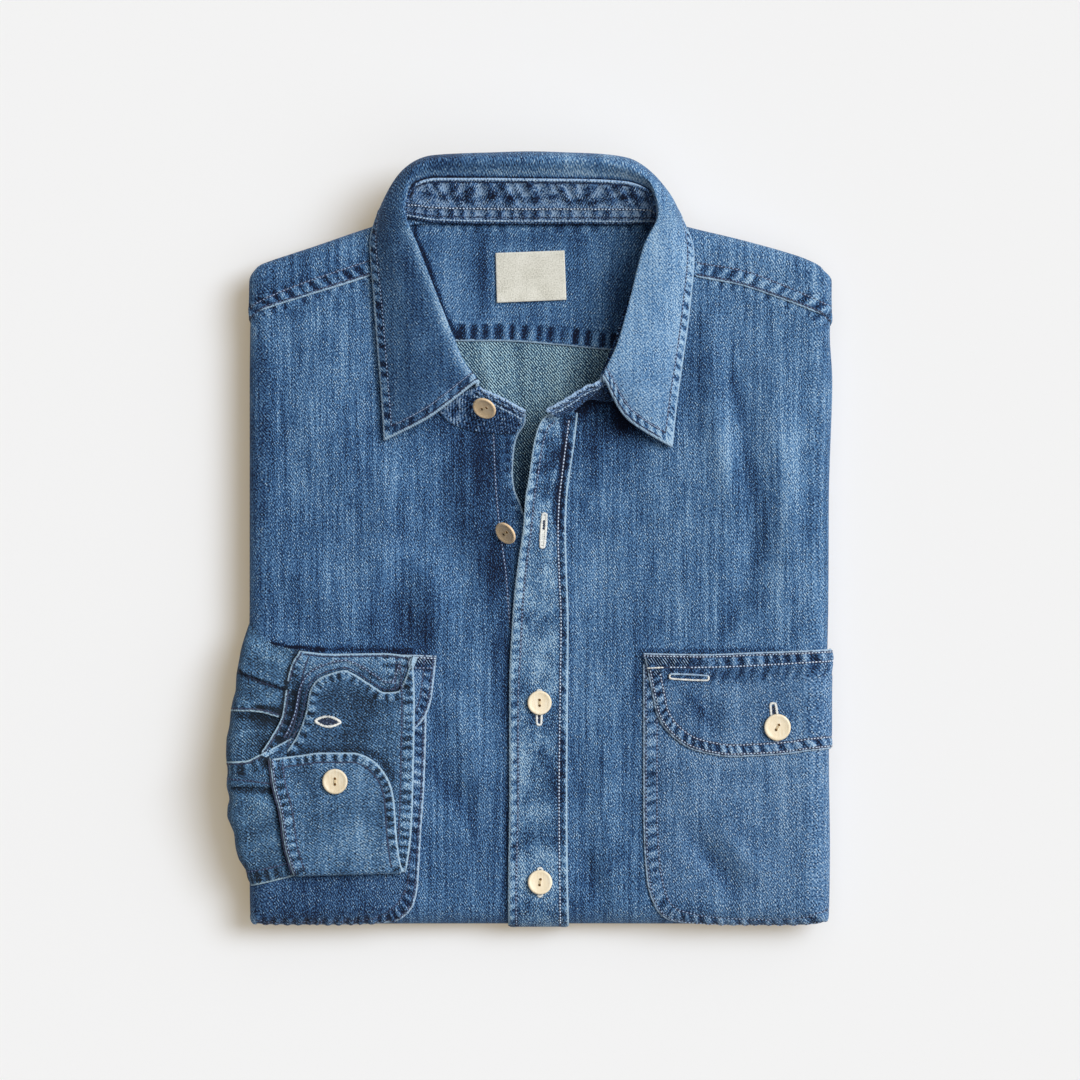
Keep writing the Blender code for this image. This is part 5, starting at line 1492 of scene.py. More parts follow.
# ------------------------------------------------------- inside of the neck
def make_inside():
    outline = smooth_line([(405, 345), (396, 300), (392, 262), (394, 236), (406, 214), (440, 214),
                           (530, 218), (640, 215), (658, 218), (666, 240), (671, 262), (672, 300),
                           (657, 345)])
    foot = smooth_line([(657, 347), (617, 350), (560, 345), (500, 341), (452, 341), (405, 345)])
    outline = chain(outline, foot)
    seam = smooth_line([(411, 219), (439.5, 224), (502, 225), (564, 225), (651, 224)])
    # mostly painted light and shade: painted shadow of the collar on the right part, painted shade along the left
    # leaf's fold, below the stand and in soft creases
    fades = [(482, 275, 8, 46, 0, -0.34), (452, 285, 12, 44, 0, 0.10), (600, 300, 34, 40, 0, -0.08),
             (530, 326, 80, 9, 0, -0.12), (640, 300, 24, 60, 0, -0.16), (530, 238, 90, 6, 0, -0.10),
             (578, 262, 9, 30, 0, -0.12), (500, 320, 12, 14, 0, 0.10), (424, 290, 10, 40, 0, -0.16)]
    piece(Cloth("yoke_inner_cloth", inner_surf, 0.0, 1.2, outline, worn=[foot],
                seams=[(foot, 1.2, 9.6, 91, 4.7, 0.30, 0.6), (seam, 0.0, 4.0, 92, 5.0, 0.14, 0.2)],
                # painted shadow along the left leaf's fold and below the stand's foot, soft painted shade near the
                # foot of the piece and a painted highlight on a ridge above it
                painted_light_strokes=[(smooth_line([(413, 205), (416, 237), (423, 253), (436, 290), (446, 315), (460, 342)]),
                          1.5, -0.55, 0.0),
                         (smooth_line([(405, 218), (440, 222.5), (530, 224), (648, 222)]), 0.9, -0.30, 0.0),
                         (smooth_line([(440, 334), (530, 334), (620, 339)]), 4.2, -0.10, 0.0),
                         (smooth_line([(452, 322), (530, 322), (608, 327)]), 1.2, 0.12, 0.2)],
                fades=fades, fine=1.25), "yoke_inner", "denim", "denim_inner")

    outline = chain(smooth_line([(482, 546), (476, 500), (464, 455), (452, 415), (436, 380), (412, 336)]),
                    line_of((412, 336), (648, 336)),
                    smooth_line([(648, 336), (625, 380), (612, 415), (596, 455), (584, 500), (578, 546)]),
                    line_of((578, 546), (482, 546)))

    def folds(uv):
        u, v = uv[:, 0], uv[:, 1]
        z, tone = 0 * u, 0 * u
        for u0, u1, half, rise, fade in ((486, 500, 5, 0.9, 0.12), (519, 524, 6, -1.0, -0.12),
                                         (535, 536, 4, 0.3, -0.02), (560, 552, 7, 0.9, 0.10),
                                         (590, 575, 7, -0.7, -0.10), (470, 490, 6, -0.7, -0.08)):
            c = u0 + (u1 - u0) * (v - 345) / 180
            k = np.exp(-((u - c) / half) ** 2)
            # painted light and shade on the folds, following their rise
            z, tone = z + rise * k, tone + 1.5 * fade * k
        return z * smooth((v - 340) / 40), tone

    piece(Cloth("back_inside_cloth", back_surf, -0.3, 1.0, outline, shape=folds,
                # painted shade deep in the V
                fades=[(515, 500, 50, 60, 0, -0.34), (530, 400, 60, 40, 0, 0.03)], fine=1.4),
          "back_inside", "denim_inside", "wrong_side")

    corners = [(495.3, 252.5), (564.5, 250), (566.5, 299.5), (496.6, 302.5)]
    sides = [line_of(a, b) for a, b in zip(corners, corners[1:] + corners[:1])]
    outline = chain(*sides)

    def curl(uv):
        d = along(sides[2], uv, 12.0)[0]
        return 0.5 * np.exp(-(d / 5) ** 2), 0 * d

    piece(Cloth("neck_label_cloth", inner_surf, 1.3, 0.5, outline, worn=sides, shape=curl, fine=0.9,
                fades=[(515, 285, 20, 14, 0, -0.04), (550, 262, 16, 10, 0, 0.03)]),
          "neck_label", "label", "label")


# ------------------------------------------------------------------ collar
def stations(rows, cols, steps):
    rows = np.array([[r[c] for c in cols] for r in rows], float)
    keys = np.arange(len(rows))
    t = np.linspace(0, len(rows) - 1, (len(rows) - 1) * steps + 1)
    vals = [curve(list(zip(keys, rows[:, c])), t) for c in range(3)]
    return np.stack([gx(vals[0]), gy(vals[1]), vals[2]], -1)


def through(stack, ts):
    """Points at ts along the smooth line through a stack of point rows."""
    stack = np.array(stack)
    out = np.zeros((len(ts),) + stack.shape[1:])
    for k, t in enumerate(ts):
        i = min(int(t), len(stack) - 2)
        f = t - i
        p0, p1 = stack[max(i - 1, 0)], stack[i]
        p2, p3 = stack[i + 1], stack[min(i + 2, len(stack) - 1)]
        out[k] = 0.5 * (2 * p1 + (p2 - p0) * f + (2 * p0 - 5 * p1 + 4 * p2 - p3) * f**2
                        + (3 * p1 - p0 - 3 * p2 + p3) * f**3)
    return out


def path_length(points, axis):
    d = np.linalg.norm(np.diff(points, axis=axis), axis=-1)
    zero = np.zeros_like(np.take(d, [0], axis=axis))
    return np.concatenate([zero, np.cumsum(d, axis=axis)], axis=axis)


def even_rows(grid, count):
    """Every column of grid[j][i] resampled to count evenly spaced points."""
    length = path_length(grid, 0)
    out = np.zeros((count,) + grid.shape[1:])
    for i in range(grid.shape[1]):
        t = np.linspace(0, length[-1, i], count)
        for c in range(3):
            out[:, i, c] = np.interp(t, length[:, i], grid[:, i, c])
    return out


class Shell:
    """A curved piece given by a grid of points in mm: both faces and its rim.
    Row 0 is its hidden edge, the last row its outer edge."""

    def __init__(self, name, grid, thick, up, fields):
        self.name, self.thick = name, thick
        down = np.gradient(grid, axis=0)
        run = np.gradient(grid, axis=1)
        normal = np.cross(run, down)
        normal /= np.maximum(np.linalg.norm(normal, axis=-1), 1e-9)[..., None]
        if (normal * np.array(up)).sum() < 0:
            normal = -normal
        self.grid, self.normal = grid, normal
        self.from_low = path_length(grid, 0)
        self.width = self.from_low[-1]
        self.to_edge = self.width[None, :] - self.from_low
        self.start = path_length(grid, 1)
        self.end = self.start[:, -1:] - self.start
        self.arc = np.broadcast_to(self.start[-1][None, :], self.start.shape)
        self.rise, self.tone, self.edge, self.groove = fields(self)
        self.face = grid + normal * self.rise[..., None]

    def build(self, material, uv=None):
        rows, cols = self.grid.shape[:2]
        back = self.face - self.normal * self.thick
        index = np.arange(rows * cols).reshape(rows, cols)
        a, b, c, d = index[:-1, :-1], index[:-1, 1:], index[1:, 1:], index[1:, :-1]
        face = np.stack([a, b, c, d], -1).reshape(-1, 4)
        n = np.cross(self.face[0, 1] - self.face[0, 0], self.face[1, 0] - self.face[0, 0])
        if (n * self.normal[0, 0]).sum() < 0:
            face = face[:, ::-1]
            flipped = True
        else:
            flipped = False
        count = rows * cols
        other = face[:, ::-1] + count
        ring = np.concatenate([index[0, :], index[1:, -1], index[-1, -2::-1], index[-2:0:-1, 0]])
        flat = self.face.reshape(-1, 3)
        back_flat = back.reshape(-1, 3)
        middle = (flat[ring] + back_flat[ring]) / 2
        centre_dir = np.zeros_like(middle)
        rj, ri = ring // cols, ring % cols
        inside_j = np.clip(rj, 1, rows - 2)
        inside_i = np.clip(ri, 1, cols - 2)
        inner = self.face[inside_j, inside_i]
        out = flat[ring] - inner
        out /= np.maximum(np.linalg.norm(out, axis=-1), 1e-9)[:, None]
        middle += out * self.thick * 0.34
        extra = np.arange(len(ring)) + 2 * count
        nxt = np.roll(np.arange(len(ring)), -1)
        strip1 = np.stack([ring, ring[nxt], extra[nxt], extra], -1)
        strip2 = np.stack([extra, extra[nxt], ring[nxt] + count, ring + count], -1)
        if not flipped:
            strip1, strip2 = strip1[:, ::-1], strip2[:, ::-1]
        co = np.concatenate([flat, back_flat, middle])
        faces = np.concatenate([face, other, strip1, strip2]).tolist()

        def per(values):
            flatv = np.asarray(values).reshape(-1)
            return np.concatenate([flatv, flatv, flatv[ring]])
        if uv is None:
            uv = np.stack([self.arc, self.from_low], -1)
        coord = np.concatenate([uv.reshape(-1, 2)] * 2 + [uv.reshape(-1, 2)[ring]]) * MM
        return cloth_mesh(self.name, co, faces, coord, per(self.tone), per(self.edge),
                          per(self.groove), material)

    def sew_row(self, group, kind, distance, back=False, lo=0.0, hi=1e9, key=None, cols=None):
        """Stitches that keep one distance from the outer edge (or, with key,
        from another edge of it)."""
        field = self.to_edge if key is None else key
        pts, nor = [], []
        base = self.face - self.normal * (self.thick if back else 0.0)
        sign = -1.0 if back else 1.0
        if key is None or key is self.from_low:
            for i in range(self.grid.shape[1]):
                if cols is not None and not cols[i]:
                    continue
                col = field[:, i]
                order = np.argsort(col)
                if not col[order[0]] <= distance <= col[order[-1]]:
                    continue
                if not (lo <= self.start[-1, i] and lo <= self.end[-1, i] and self.start[-1, i] <= hi):
                    continue
                pts.append([np.interp(distance, col[order], base[order, i, c]) for c in range(3)])
                nor.append([np.interp(distance, col[order], self.normal[order, i, c]) for c in range(3)])
        else:
            for j in range(self.grid.shape[0]):
                row = field[j]
                order = np.argsort(row)
                if not row[order[0]] <= distance <= row[order[-1]]:
                    continue
                if not (lo <= self.to_edge[j, 0]):
                    continue
                pts.append([np.interp(distance, row[order], base[j, order, c]) for c in range(3)])
                nor.append([np.interp(distance, row[order], self.normal[j, order, c]) for c in range(3)])
        pts, nor = np.array(pts), np.array(nor) * sign
        sew_path(group, kind, pts, nor)

    def area(self):
        a = self.grid[1:, :-1] - self.grid[:-1, :-1]
        b = self.grid[:-1, 1:] - self.grid[:-1, :-1]
        return float(np.linalg.norm(np.cross(a, b), axis=-1).sum()) * MM * MM


def make_collar():
    steps = 24
    t = stations(COLLAR, (3, 4, 5), steps)
    r = stations(COLLAR, (6, 7, 8), steps)
    m = stations(COLLAR, (9, 10, 11), steps)
    e = stations(COLLAR, (12, 13, 14), steps)
    # at the back it starts tucked under the top of the stand
    b = smooth((t[:, 1] - gy(236)) / 4)
    low = t + (r - t) * (0.06 - 0.17 * b)[:, None]
    low[:, 2] = t[:, 2] + 0.1 - 2.4 * b
    fine = through([low, r, m, e], np.linspace(0, 3, 61))
    # even stations along the outer edge, even rows across
    arc = path_length(fine, 1)
    mean = arc[[20, 40, 60]].mean(0)
    count = int(mean[-1] / 1.15)
    s = np.linspace(0, mean[-1], count)
    grid = np.zeros((61, count, 3))
    for j in range(61):
        for c in range(3):
            grid[j, :, c] = np.interp(s, mean, fine[j, :, c])
    grid = even_rows(grid, 56)
    left_tip = (gx(384), gy(440))

    def fields(k):
        d_front = np.minimum(k.start, k.end)
        d = np.minimum(k.to_edge, d_front)
        edge = d.copy()
        groove = np.abs(d - 5.4)
        groove[k.from_low < 4.0] = 99.0
        along_edge = np.where(k.to_edge < d_front, k.arc, k.from_low + 900 * (k.start > k.end) + 0.6 * d)
        rip = ripple(along_edge + 0.5 * d, 101, 2.8)
        band = smooth((d - 0.5) / 0.8 + 0.5) * smooth((5.0 - d) / 0.9 + 0.5)
        tone = 0.30 * np.where(rip < 0, 1.75 * rip, rip) * band
        rise = 0.32 * rip * band - 0.24 * np.exp(-(groove / 0.75) ** 2)
        inner_band = smooth((d - 5.6) / 0.8 + 0.5) * smooth((8.0 - d) / 1.4 + 0.5)
        tone = tone + 0.07 * ripple(along_edge, 102, 3.9) * inner_band
        # worn, paler at the roll and at the tips
        roll = np.exp(-((k.from_low - 10) / 6.0) ** 2)
        tone = tone + 0.05 * roll
        tone = tone + 0.55 * np.exp(-((k.to_edge / 4.5) ** 2 + (d_front / 4.5) ** 2))
        # painted shade in the crease where it leaves the stand at the back, painted light a little above it, and the
        # back a little darker overall
        at_back = smooth((k.grid[..., 1] - gy(240)) / 12)
        tone = tone - at_back * (0.45 * np.exp(-(np.maximum(k.from_low - 2.2, 0) / 0.9) ** 2)
                                 + 0.10 - 0.24 * np.exp(-((k.from_low - 5.5) / 2.6) ** 2))
        tone = tone + at_back * 0.10 * wander(k.arc + 0.6 * k.from_low, 104, 13.0)
        # painted light on the left leaf: a pale band where its roll faces the light, a little painted shade further
        # out
        left = smooth((-k.grid[..., 0] - 10) / 20) * (1 - at_back)
        tone = tone + left * (0.34 * np.exp(-((k.from_low - 6.4) / 2.6) ** 2)
                              - 0.08 * np.exp(-((k.from_low - 15) / 6.0) ** 2))
        # painted light and shade: the leaf towards the light is painted lighter, the other one darker
        side = smooth((k.grid[..., 0] + 60) / 130)
        tone = tone - 0.13 + 0.29 * side
        # soft waves over the leaf
        wave = wander(k.arc + 0.25 * k.from_low, 103, 26.0)
        rise = rise + 0.45 * wave * smooth(k.to_edge / 12) * smooth(k.from_low / 14)
        return rise, tone, edge, groove

    leaf = Shell("collar_leaf_cloth", grid, 1.9, (0, 0, 1), fields)
    x, y, z = grid[..., 0], grid[..., 1], grid[..., 2]
    behind = smooth((y - gy(235)) / (30 * STEP))
    obj = leaf.build(MATERIALS["denim_collar"], np.stack(
        [x, (1 - behind) * y + behind * (grid[0, :, 1] + 0.55 * leaf.from_low)], -1))
    PIECES[leaf.name] = (obj, ("collar_leaf",), "denim",
                         (float(leaf.arc[-1, -1]) * MM, float(leaf.width.max()) * MM), leaf.area())
    leaf.sew_row(leaf.name, "pale", 5.4, lo=5.4)
    leaf.sew_row(leaf.name, "line", 1.5, key=leaf.start, lo=8.0)
    leaf.sew_row(leaf.name, "line", 1.5, key=leaf.end, lo=8.0)
    leaf.sew_row(leaf.name, "corded", 5.4, key=leaf.start, lo=5.4)
    leaf.sew_row(leaf.name, "corded", 5.4, key=leaf.end, lo=5.4)

    # on the side away from the light the stand shows inside the roll
    peek = {15: 4.5, 16: 6.5, 17: 6.0, 18: 2.0}
    foot_at = {6: 214.0, 7: 219.2, 8: 220.3, 11: 220.8, 12: 220.0}     # higher at its corners
    rows = STAND_RIGHT_END + [(row[0], foot_at.get(i, row[1]), row[2], row[3] - peek.get(i, 0.0)) + row[4:6]
                              for i, row in enumerate(COLLAR)] + STAND_LEFT_END
    s0 = stations(rows, (0, 1, 2), steps)
    s0[:, 2] += height(s0[:, 0] / STEP + GRID_U0, GRID_V0 - s0[:, 1] / STEP)
    s0[:, 1] -= 1.4 * smooth((s0[:, 1] - gy(236)) / 3)
    t0 = stations(rows, (3, 4, 5), steps)
    mid = (s0 + t0) / 2
    fine = through([s0, mid, t0], np.linspace(0, 2, 41))
    arc = path_length(fine, 1).mean(0)
    count = int(arc[-1] / 1.15)
    s = np.linspace(0, arc[-1], count)
    grid = np.zeros((41, count, 3))
    for j in range(41):
        for c in range(3):
            grid[j, :, c] = np.interp(s, arc, fine[j, :, c])
    grid = even_rows(grid, 30)

    def stand_fields(k):
        y = k.grid[..., 1]
        at_back = smooth((y[-1] - gy(236)) / 10)[None, :] + 0 * y
        ends = smooth((36 - k.start) / 8) + smooth((44 - k.end) / 8)
        right = (k.grid[..., 0] > 0) * (1 - at_back) * (1 - ends)
        groove = np.where(at_back > 0.5, np.minimum(np.abs(k.from_low - 4.8), np.abs(k.from_low - 10.8)), 99.0)
        bend = 2.2 * wander(k.arc * 0.7 + k.from_low * 0.9, 113, 7.0)
        rip = ripple(k.arc + bend + 0.30 * k.from_low, 111, 4.3)
        rip = 0.8 * rip + 0.5 * ripple(k.arc * 0.9 - 0.8 * k.from_low, 114, 6.0)
        middle = smooth((k.to_edge - 1.6) / 1.6) * smooth((k.from_low - 11.5) / 2.5)
        middle = middle * (0.65 + 0.35 * smooth((k.from_low - 17) / 4))
        tone = 0.12 + 0.46 * np.where(rip < 0, 1.4 * rip, rip) * middle
        rise = 0.9 * rip * middle - 0.2 * np.exp(-(groove / 0.9) ** 2)
        # painted shade of a low fold that runs along above the sewing at its foot
        tone = tone - 0.42 * np.exp(-((k.from_low - 18 - 2.4 * wander(k.arc, 116, 11.0)) / 2.0) ** 2)
        rip = ripple(k.arc, 112, 3.3)
        foot = smooth((k.from_low - 3.0) / 1.5) * smooth((11.5 - k.from_low) / 1.5)
        tone = tone + 0.46 * np.where(rip < 0, 1.4 * rip, rip) * foot
        # painted shade at the very foot of the stand, at the back
        tone = tone - 0.6 * at_back * np.exp(-(np.maximum(k.from_low, 0) / 1.1) ** 4)
        rise = rise + 0.45 * rip * foot
        # the ends are padded and creased along their top edge, plain below; below the padding they get painted shade
        # of the collar over them, and a painted dark line for a slit
        rope = smooth((7.5 - k.to_edge) / 1.5)
        rip = ripple(k.arc + 1.3 * k.to_edge, 115, 3.2)
        tone = tone * (1 - ends) + ends * (rope * (0.10 + 0.26 * rip) - 0.30 * (1 - rope))
        tone = tone - ends * 0.45 * np.exp(-((k.to_edge - 4.2) / 0.5) ** 2)
        rise = rise * (1 - ends) + ends * rope * (0.4 * rip + 0.8 * np.exp(-((k.to_edge - 2.4) / 1.6) ** 2))
        # painted shade on the right side of the stand, away from the light
        tone = tone - right * 0.25
        run = np.gradient(k.grid[-1], axis=0)
        across = np.abs(run[:, 0]) / np.maximum(np.hypot(run[:, 0], run[:, 1]), 1e-9)
        across = smooth((across - 0.80) / 0.12)[None, :] + 0 * y
        edge = np.minimum(k.to_edge, np.where(at_back > 0.5, np.abs(k.from_low - 2.2) + 0.3, 99.0))
        edge = edge + 0.62 + 0.40 * ripple(k.arc + k.to_edge, 117, 1.9)
        edge = edge + 9 * (1 - across) * (1 - ends)
        # painted shade just inside the top edge where it runs down the sides, and just below the rim at the back
        tone = tone - (1 - ends) * (1 - across) * 0.40 * np.exp(-(k.to_edge / 2.0) ** 2)
        tone = tone - at_back * 0.40 * np.exp(-((k.to_edge - 2.1) / 0.8) ** 2)
        side_edge = np.minimum(k.start, k.end)
        edge = np.where((ends > 0.5) & (k.to_edge < 8), np.minimum(edge, side_edge + 0.4), edge)
        # nothing pale where it dives under the roll of the collar
        hidden = (1 - at_back) * (1 - ends) * (y > gy(285))
        return rise, tone, edge + 9 * hidden, groove

    stand = Shell("collar_stand_cloth", grid, 1.1, (0, 0, 1), stand_fields)
    obj = stand.build(MATERIALS["denim_stand"], np.stack([stand.arc, 0.7 * stand.from_low], -1))
    PIECES[stand.name] = (obj, ("collar_stand",), "denim",
                          (float(stand.arc[-1, -1]) * MM, float(stand.width.max()) * MM), stand.area())
    for back in (False, True):
        stand.sew_row(stand.name, "fleck", 4.8, back=back, key=stand.from_low, lo=60.0)
        stand.sew_row(stand.name, "white", 10.8, back=back, key=stand.from_low, lo=60.0)
        stand.sew_row(stand.name, "rope", 2.3, back=back, key=stand.from_low, lo=60.0)
        behind_neck = stand.grid[-1, :, 1] > gy(186)
        stand.sew_row(stand.name, "rope", 0.5, back=back, cols=behind_neck)
        stand.sew_row(stand.name, "line", 2.0, back=back, cols=behind_neck)
        # the padded ends: two ropes of cloth, with painted shade lines for the groove between them and for a slit
        for cols in (stand.start[-1] < 30, stand.end[-1] < 38):
            stand.sew_row(stand.name, "rope", 0.5, back=back, cols=cols)
            stand.sew_row(stand.name, "line", 1.7, back=back, cols=cols)
            stand.sew_row(stand.name, "rope", 5.8, back=back, cols=cols)
        for cols in ((stand.start[-1] > 6) & (stand.start[-1] < 17), (stand.end[-1] > 8) & (stand.end[-1] < 22)):
            stand.sew_row(stand.name, "line", 3.9, back=back, cols=cols)


# ----------------------------------------------------------------- buttons
BUTTONS = [("button_front_2", 507, 532, 5.4, 13.6, -0.57, -0.48, 35),
           ("button_front_3", 539.4, 702.6, 2.3, 13.6, 0.05, -0.05, 90),
           ("button_front_4", 540, 882.4, 2.3, 13.8, 0.0, 0.10, 80),
           ("button_cuff", 335.5, 780.8, 8.9, 14.2, 0.02, 0.02, 90),
           ("button_flap", 777, 727, 3.4, 15.0, 0.03, -0.03, 60)]
COLLAR_BUTTON = (485.4, 407.3, 35.2)


def disc(name, place, diameter, facing, turn, sewn=True):
    """Two-hole button: broad raised rim, a dished middle and sunk holes."""
    r = diameter / 2
    profile = [(0.001, 1.72), (r * 0.30, 1.74), (r * 0.60, 1.86), (r * 0.74, 2.04), (r * 0.82, 2.22),
               (r * 0.90, 2.28), (r * 0.96, 2.10), (r, 1.65), (r * 0.985, 1.15), (r * 0.86, 0.5),
               (r * 0.6, 0.15), (0.001, 0.1)]
    around = 56
    ang = np.linspace(0, 2 * math.pi, around, endpoint=False)
    verts, faces = [], []
    for rad, z in profile:
        verts += [(rad * math.cos(a), rad * math.sin(a), z) for a in ang]
    for j in range(len(profile) - 1):
        for i in range(around):
            k = (i + 1) % around
            faces.append((j * around + i, (j + 1) * around + i, (j + 1) * around + k, j * around + k))
    holes, hole_faces = [], []
    for side in (-1, 1):
        c, s = math.cos(math.radians(turn)) * side * 1.55, math.sin(math.radians(turn)) * side * 1.55
        base = len(verts)
        for rad, z in ((1.16, 1.74), (0.98, 1.90), (0.84, 1.86), (0.78, 1.79)):
            verts += [(c + rad * math.cos(a), s + rad * math.sin(a), z) for a in ang[::4]]
        n = len(ang[::4])
        for j in range(3):
            for i in range(n):
                k = (i + 1) % n
                faces.append((base + j * n + i, base + (j + 1) * n + i, base + (j + 1) * n + k,
                              base + j * n + k))
        hole_faces.append(tuple(base + 3 * n + i for i in range(n)))
    count = len(faces)
    faces += hole_faces
    mesh = bpy.data.meshes.new(name)
    mesh.from_pydata([(x * MM, y * MM, z * MM) for x, y, z in verts], [], faces)
    mesh.shade_smooth()
    # painted shade: a button that faces away from the light gets the darker, browner copy
    tone = "button_tan" if facing[1] < -0.4 else "button_deep" if "cuff" in name else "button"
    mesh.materials.append(MATERIALS[tone])
    mesh.materials.append(MATERIALS["hole"])
    for k in range(count, len(faces)):
        mesh.polygons[k].material_index = 1
    axis = Vector(facing).normalized()
    quat = Vector((0, 0, 1)).rotation_difference(axis)
    turned = quat.to_matrix().to_4x4()
    turned.translation = Vector(place) * MM
    mesh.transform(turned)
    obj = bpy.data.objects.new(name, mesh)
    bpy.context.scene.collection.objects.link(obj)
    if sewn:
        side = quat @ Vector((math.cos(math.radians(turn)), math.sin(math.radians(turn)), 0))
        across = quat @ Vector((-math.sin(math.radians(turn)), math.cos(math.radians(turn)), 0))
        place = Vector(place)
        for off in (-0.42, 0.0, 0.42):
            mid = place + axis * 2.02 + across * off
            thread(name, "tan", np.array([mid]), np.array([side]), np.array([axis]), 2.2, 0.42, -0.05)
    return obj


def make_buttons():
    for name, u, v, lift, size, fx, fy, turn in BUTTONS:
        surf = placket_surf if name in ("button_front_3", "button_front_4") else body
        if name == "button_cuff":
            place = sleeve_surf(np.array(float(u)), np.array(float(v)), lift)
        else:
            place = surf(np.array(float(u)), np.array(float(v)), lift)
        obj = disc(name + "_cream", tuple(place), size, (fx, fy, math.sqrt(1 - fx * fx - fy * fy)), turn)
        PIECES[obj.name] = (obj, (name,), "button", None, None)
    u, v, z = COLLAR_BUTTON
    obj = disc("button_collar_cream", (float(gx(u)), float(gy(v)), z), 13.8, (-0.34, -0.58, 0.74), 20)
    PIECES[obj.name] = (obj, ("button_collar",), "button", None, None)


def eyelet(cloth, a, b, width, colour="white", gap=0.7, lift=0.25, surf=None):
    """A buttonhole: close satin stitches down both sides of a slit, and across
    its ends.  a and b are its ends on the cloth."""
    a, b = np.array(a, float), np.array(b, float)
    length = np.hypot(*(b - a)) * STEP
    n = max(6, int(length / 0.42))
    along_dir = (b - a) / np.hypot(*(b - a))
    side = np.array([-along_dir[1], along_dir[0]])
    rng = np.random.default_rng(int(a[0] * 7 + a[1]))
    surf = surf or cloth.surf

    def at(p):
        lifted = cloth.fields(p)[0] + lift
        return surf(p[:, 0], p[:, 1], lifted)

    f = (np.arange(n) + 0.5) / n
    mid = a + (b - a) * f[:, None]
    leg = (width - gap) / 2
    for sign in (-1, 1):
        p = mid + side * sign * (gap / 2 + leg / 2) / STEP
        q = p + side * sign * 0.5
        here, there = at(p), at(q)
        tangent = there - here
        tangent /= np.linalg.norm(tangent, axis=1)[:, None]
        up = np.cross(tangent, np.roll(here, -1, 0) - here)
        up = np.where(up[:, 2:3] < 0, -up, up)
        up /= np.maximum(np.linalg.norm(up, axis=1), 1e-9)[:, None]
        up[-1] = up[-2]
        thread(cloth.name, colour, here, tangent, up, leg * rng.uniform(0.85, 1.25, n),
               0.5 * rng.uniform(0.85, 1.2, n), 0.3)
    for end, way in ((a, -1), (b, 1)):
        k = np.linspace(-0.5, 0.5, 5)
        p = end + side * (k[:, None] * width * 0.8 / STEP) + along_dir * way * 0.4
        here = at(p)
        tangent = at(p + along_dir * 0.5) - here
        tangent /= np.linalg.norm(tangent, axis=1)[:, None]
        thread(cloth.name, colour, here, tangent, np.tile([0, 0, 1.0], (5, 1)), 1.3, 0.5, 0.3)


def eye(cloth, a, b, high, colour="satin", lift=0.3, point=0.45, fill=True, thick=1.45,
        closed=None, above=None):
    """An open buttonhole: satin stitches round a slit, with a sheet of painted shade inside.  point is
    how pointed its ends are, closed the part of it that still gapes."""
    a, b = np.array(a, float), np.array(b, float)
    half, middle = (b - a) / 2, (a + b) / 2
    side = np.array([-half[1], half[0]]) / np.hypot(*half)
    n = 64
    t = np.linspace(0, 2 * math.pi, n, endpoint=False)
    loop = middle + np.cos(t)[:, None] * half + side * (np.sin(t) * high / 2 / STEP
                                                        * (1 - point * np.cos(t) ** 2))[:, None]
    if point <= 0:                      # a long ring: even sides, round ends
        reach = np.hypot(*half) * STEP
        straight = np.clip(np.cos(t) * 1.6, -1, 1) * (reach - high / 2) + np.cos(t) * high / 2
        loop = middle + (straight / reach)[:, None] * half + side * (
            np.sign(np.sin(t)) * np.abs(np.sin(t)) ** 0.7 * high / 2 / STEP)[:, None]
        even = respaced(np.concatenate([loop, loop[:1]]), 0.5)[:-1]
        loop, n = even, len(even)
    run = np.roll(loop, -1, 0) - np.roll(loop, 1, 0)
    out = np.stack([-run[:, 1], run[:, 0]], -1)
    out /= np.hypot(out[:, 0], out[:, 1])[:, None]

    def at(p, more=0.0):
        return cloth.surf(p[:, 0], p[:, 1], cloth.fields(p)[0] + lift + more)

    here, there = at(loop), at(loop + out)
    tangent = there - here
    tangent /= np.linalg.norm(tangent, axis=1)[:, None]
    up = np.cross(tangent, np.roll(here, -1, 0) - here)
    up = np.where(up[:, 2:3] < 0, -up, up)
    up /= np.linalg.norm(up, axis=1)[:, None]
    rng = np.random.default_rng(5)
    long, wide = thick * rng.uniform(0.8, 1.25, n), 0.62 * rng.uniform(0.85, 1.2, n)
    worn = (out[:, 1] > 0.75) if above else np.zeros(n, bool)
    for mask, shade in ((~worn, colour), (worn, above)):
        if mask.any():
            thread(cloth.name, shade, here[mask], tangent[mask], up[mask], long[mask], wide[mask], 0.34)
    if closed:
        # worn nearly shut: the bars meet over part of the slit
        m = int(np.hypot(*half) * 2 * STEP / 0.5)
        f = np.linspace(-0.86, 0.86, m)
        f = f[(f < closed[0]) | (f > closed[1])]
        q = middle + f[:, None] * half
        here, there = at(q, -0.12), at(q + side * 0.5, -0.12)
        tangent = (there - here) / np.linalg.norm(there - here, axis=1)[:, None]
        thread(cloth.name, colour, here, tangent, np.tile([0, 0, 1.0], (len(q), 1)),
               (high - 0.9) * rng.uniform(0.8, 1.1, len(q)), 0.5, 0.1)
    if not fill:
        return
    # painted shade: a dark sheet laid in the slit
    inner = middle + (loop - middle) * 0.84
    floor = at(inner, -0.22)
    centre = floor.mean(0, keepdims=True)
    mesh = bpy.data.meshes.new(cloth.name + "_slit")
    mesh.from_pydata((np.concatenate([centre, floor]) * MM).tolist(), [],
                     [(0, 1 + i, 1 + (i + 1) % n) for i in range(n)])
    mesh.materials.append(MATERIALS["slit"])
    obj = bpy.data.objects.new(mesh.name, mesh)
    bpy.context.scene.collection.objects.link(obj)
    EXTRAS.setdefault(cloth.name, []).append(obj)


EXTRAS = {}


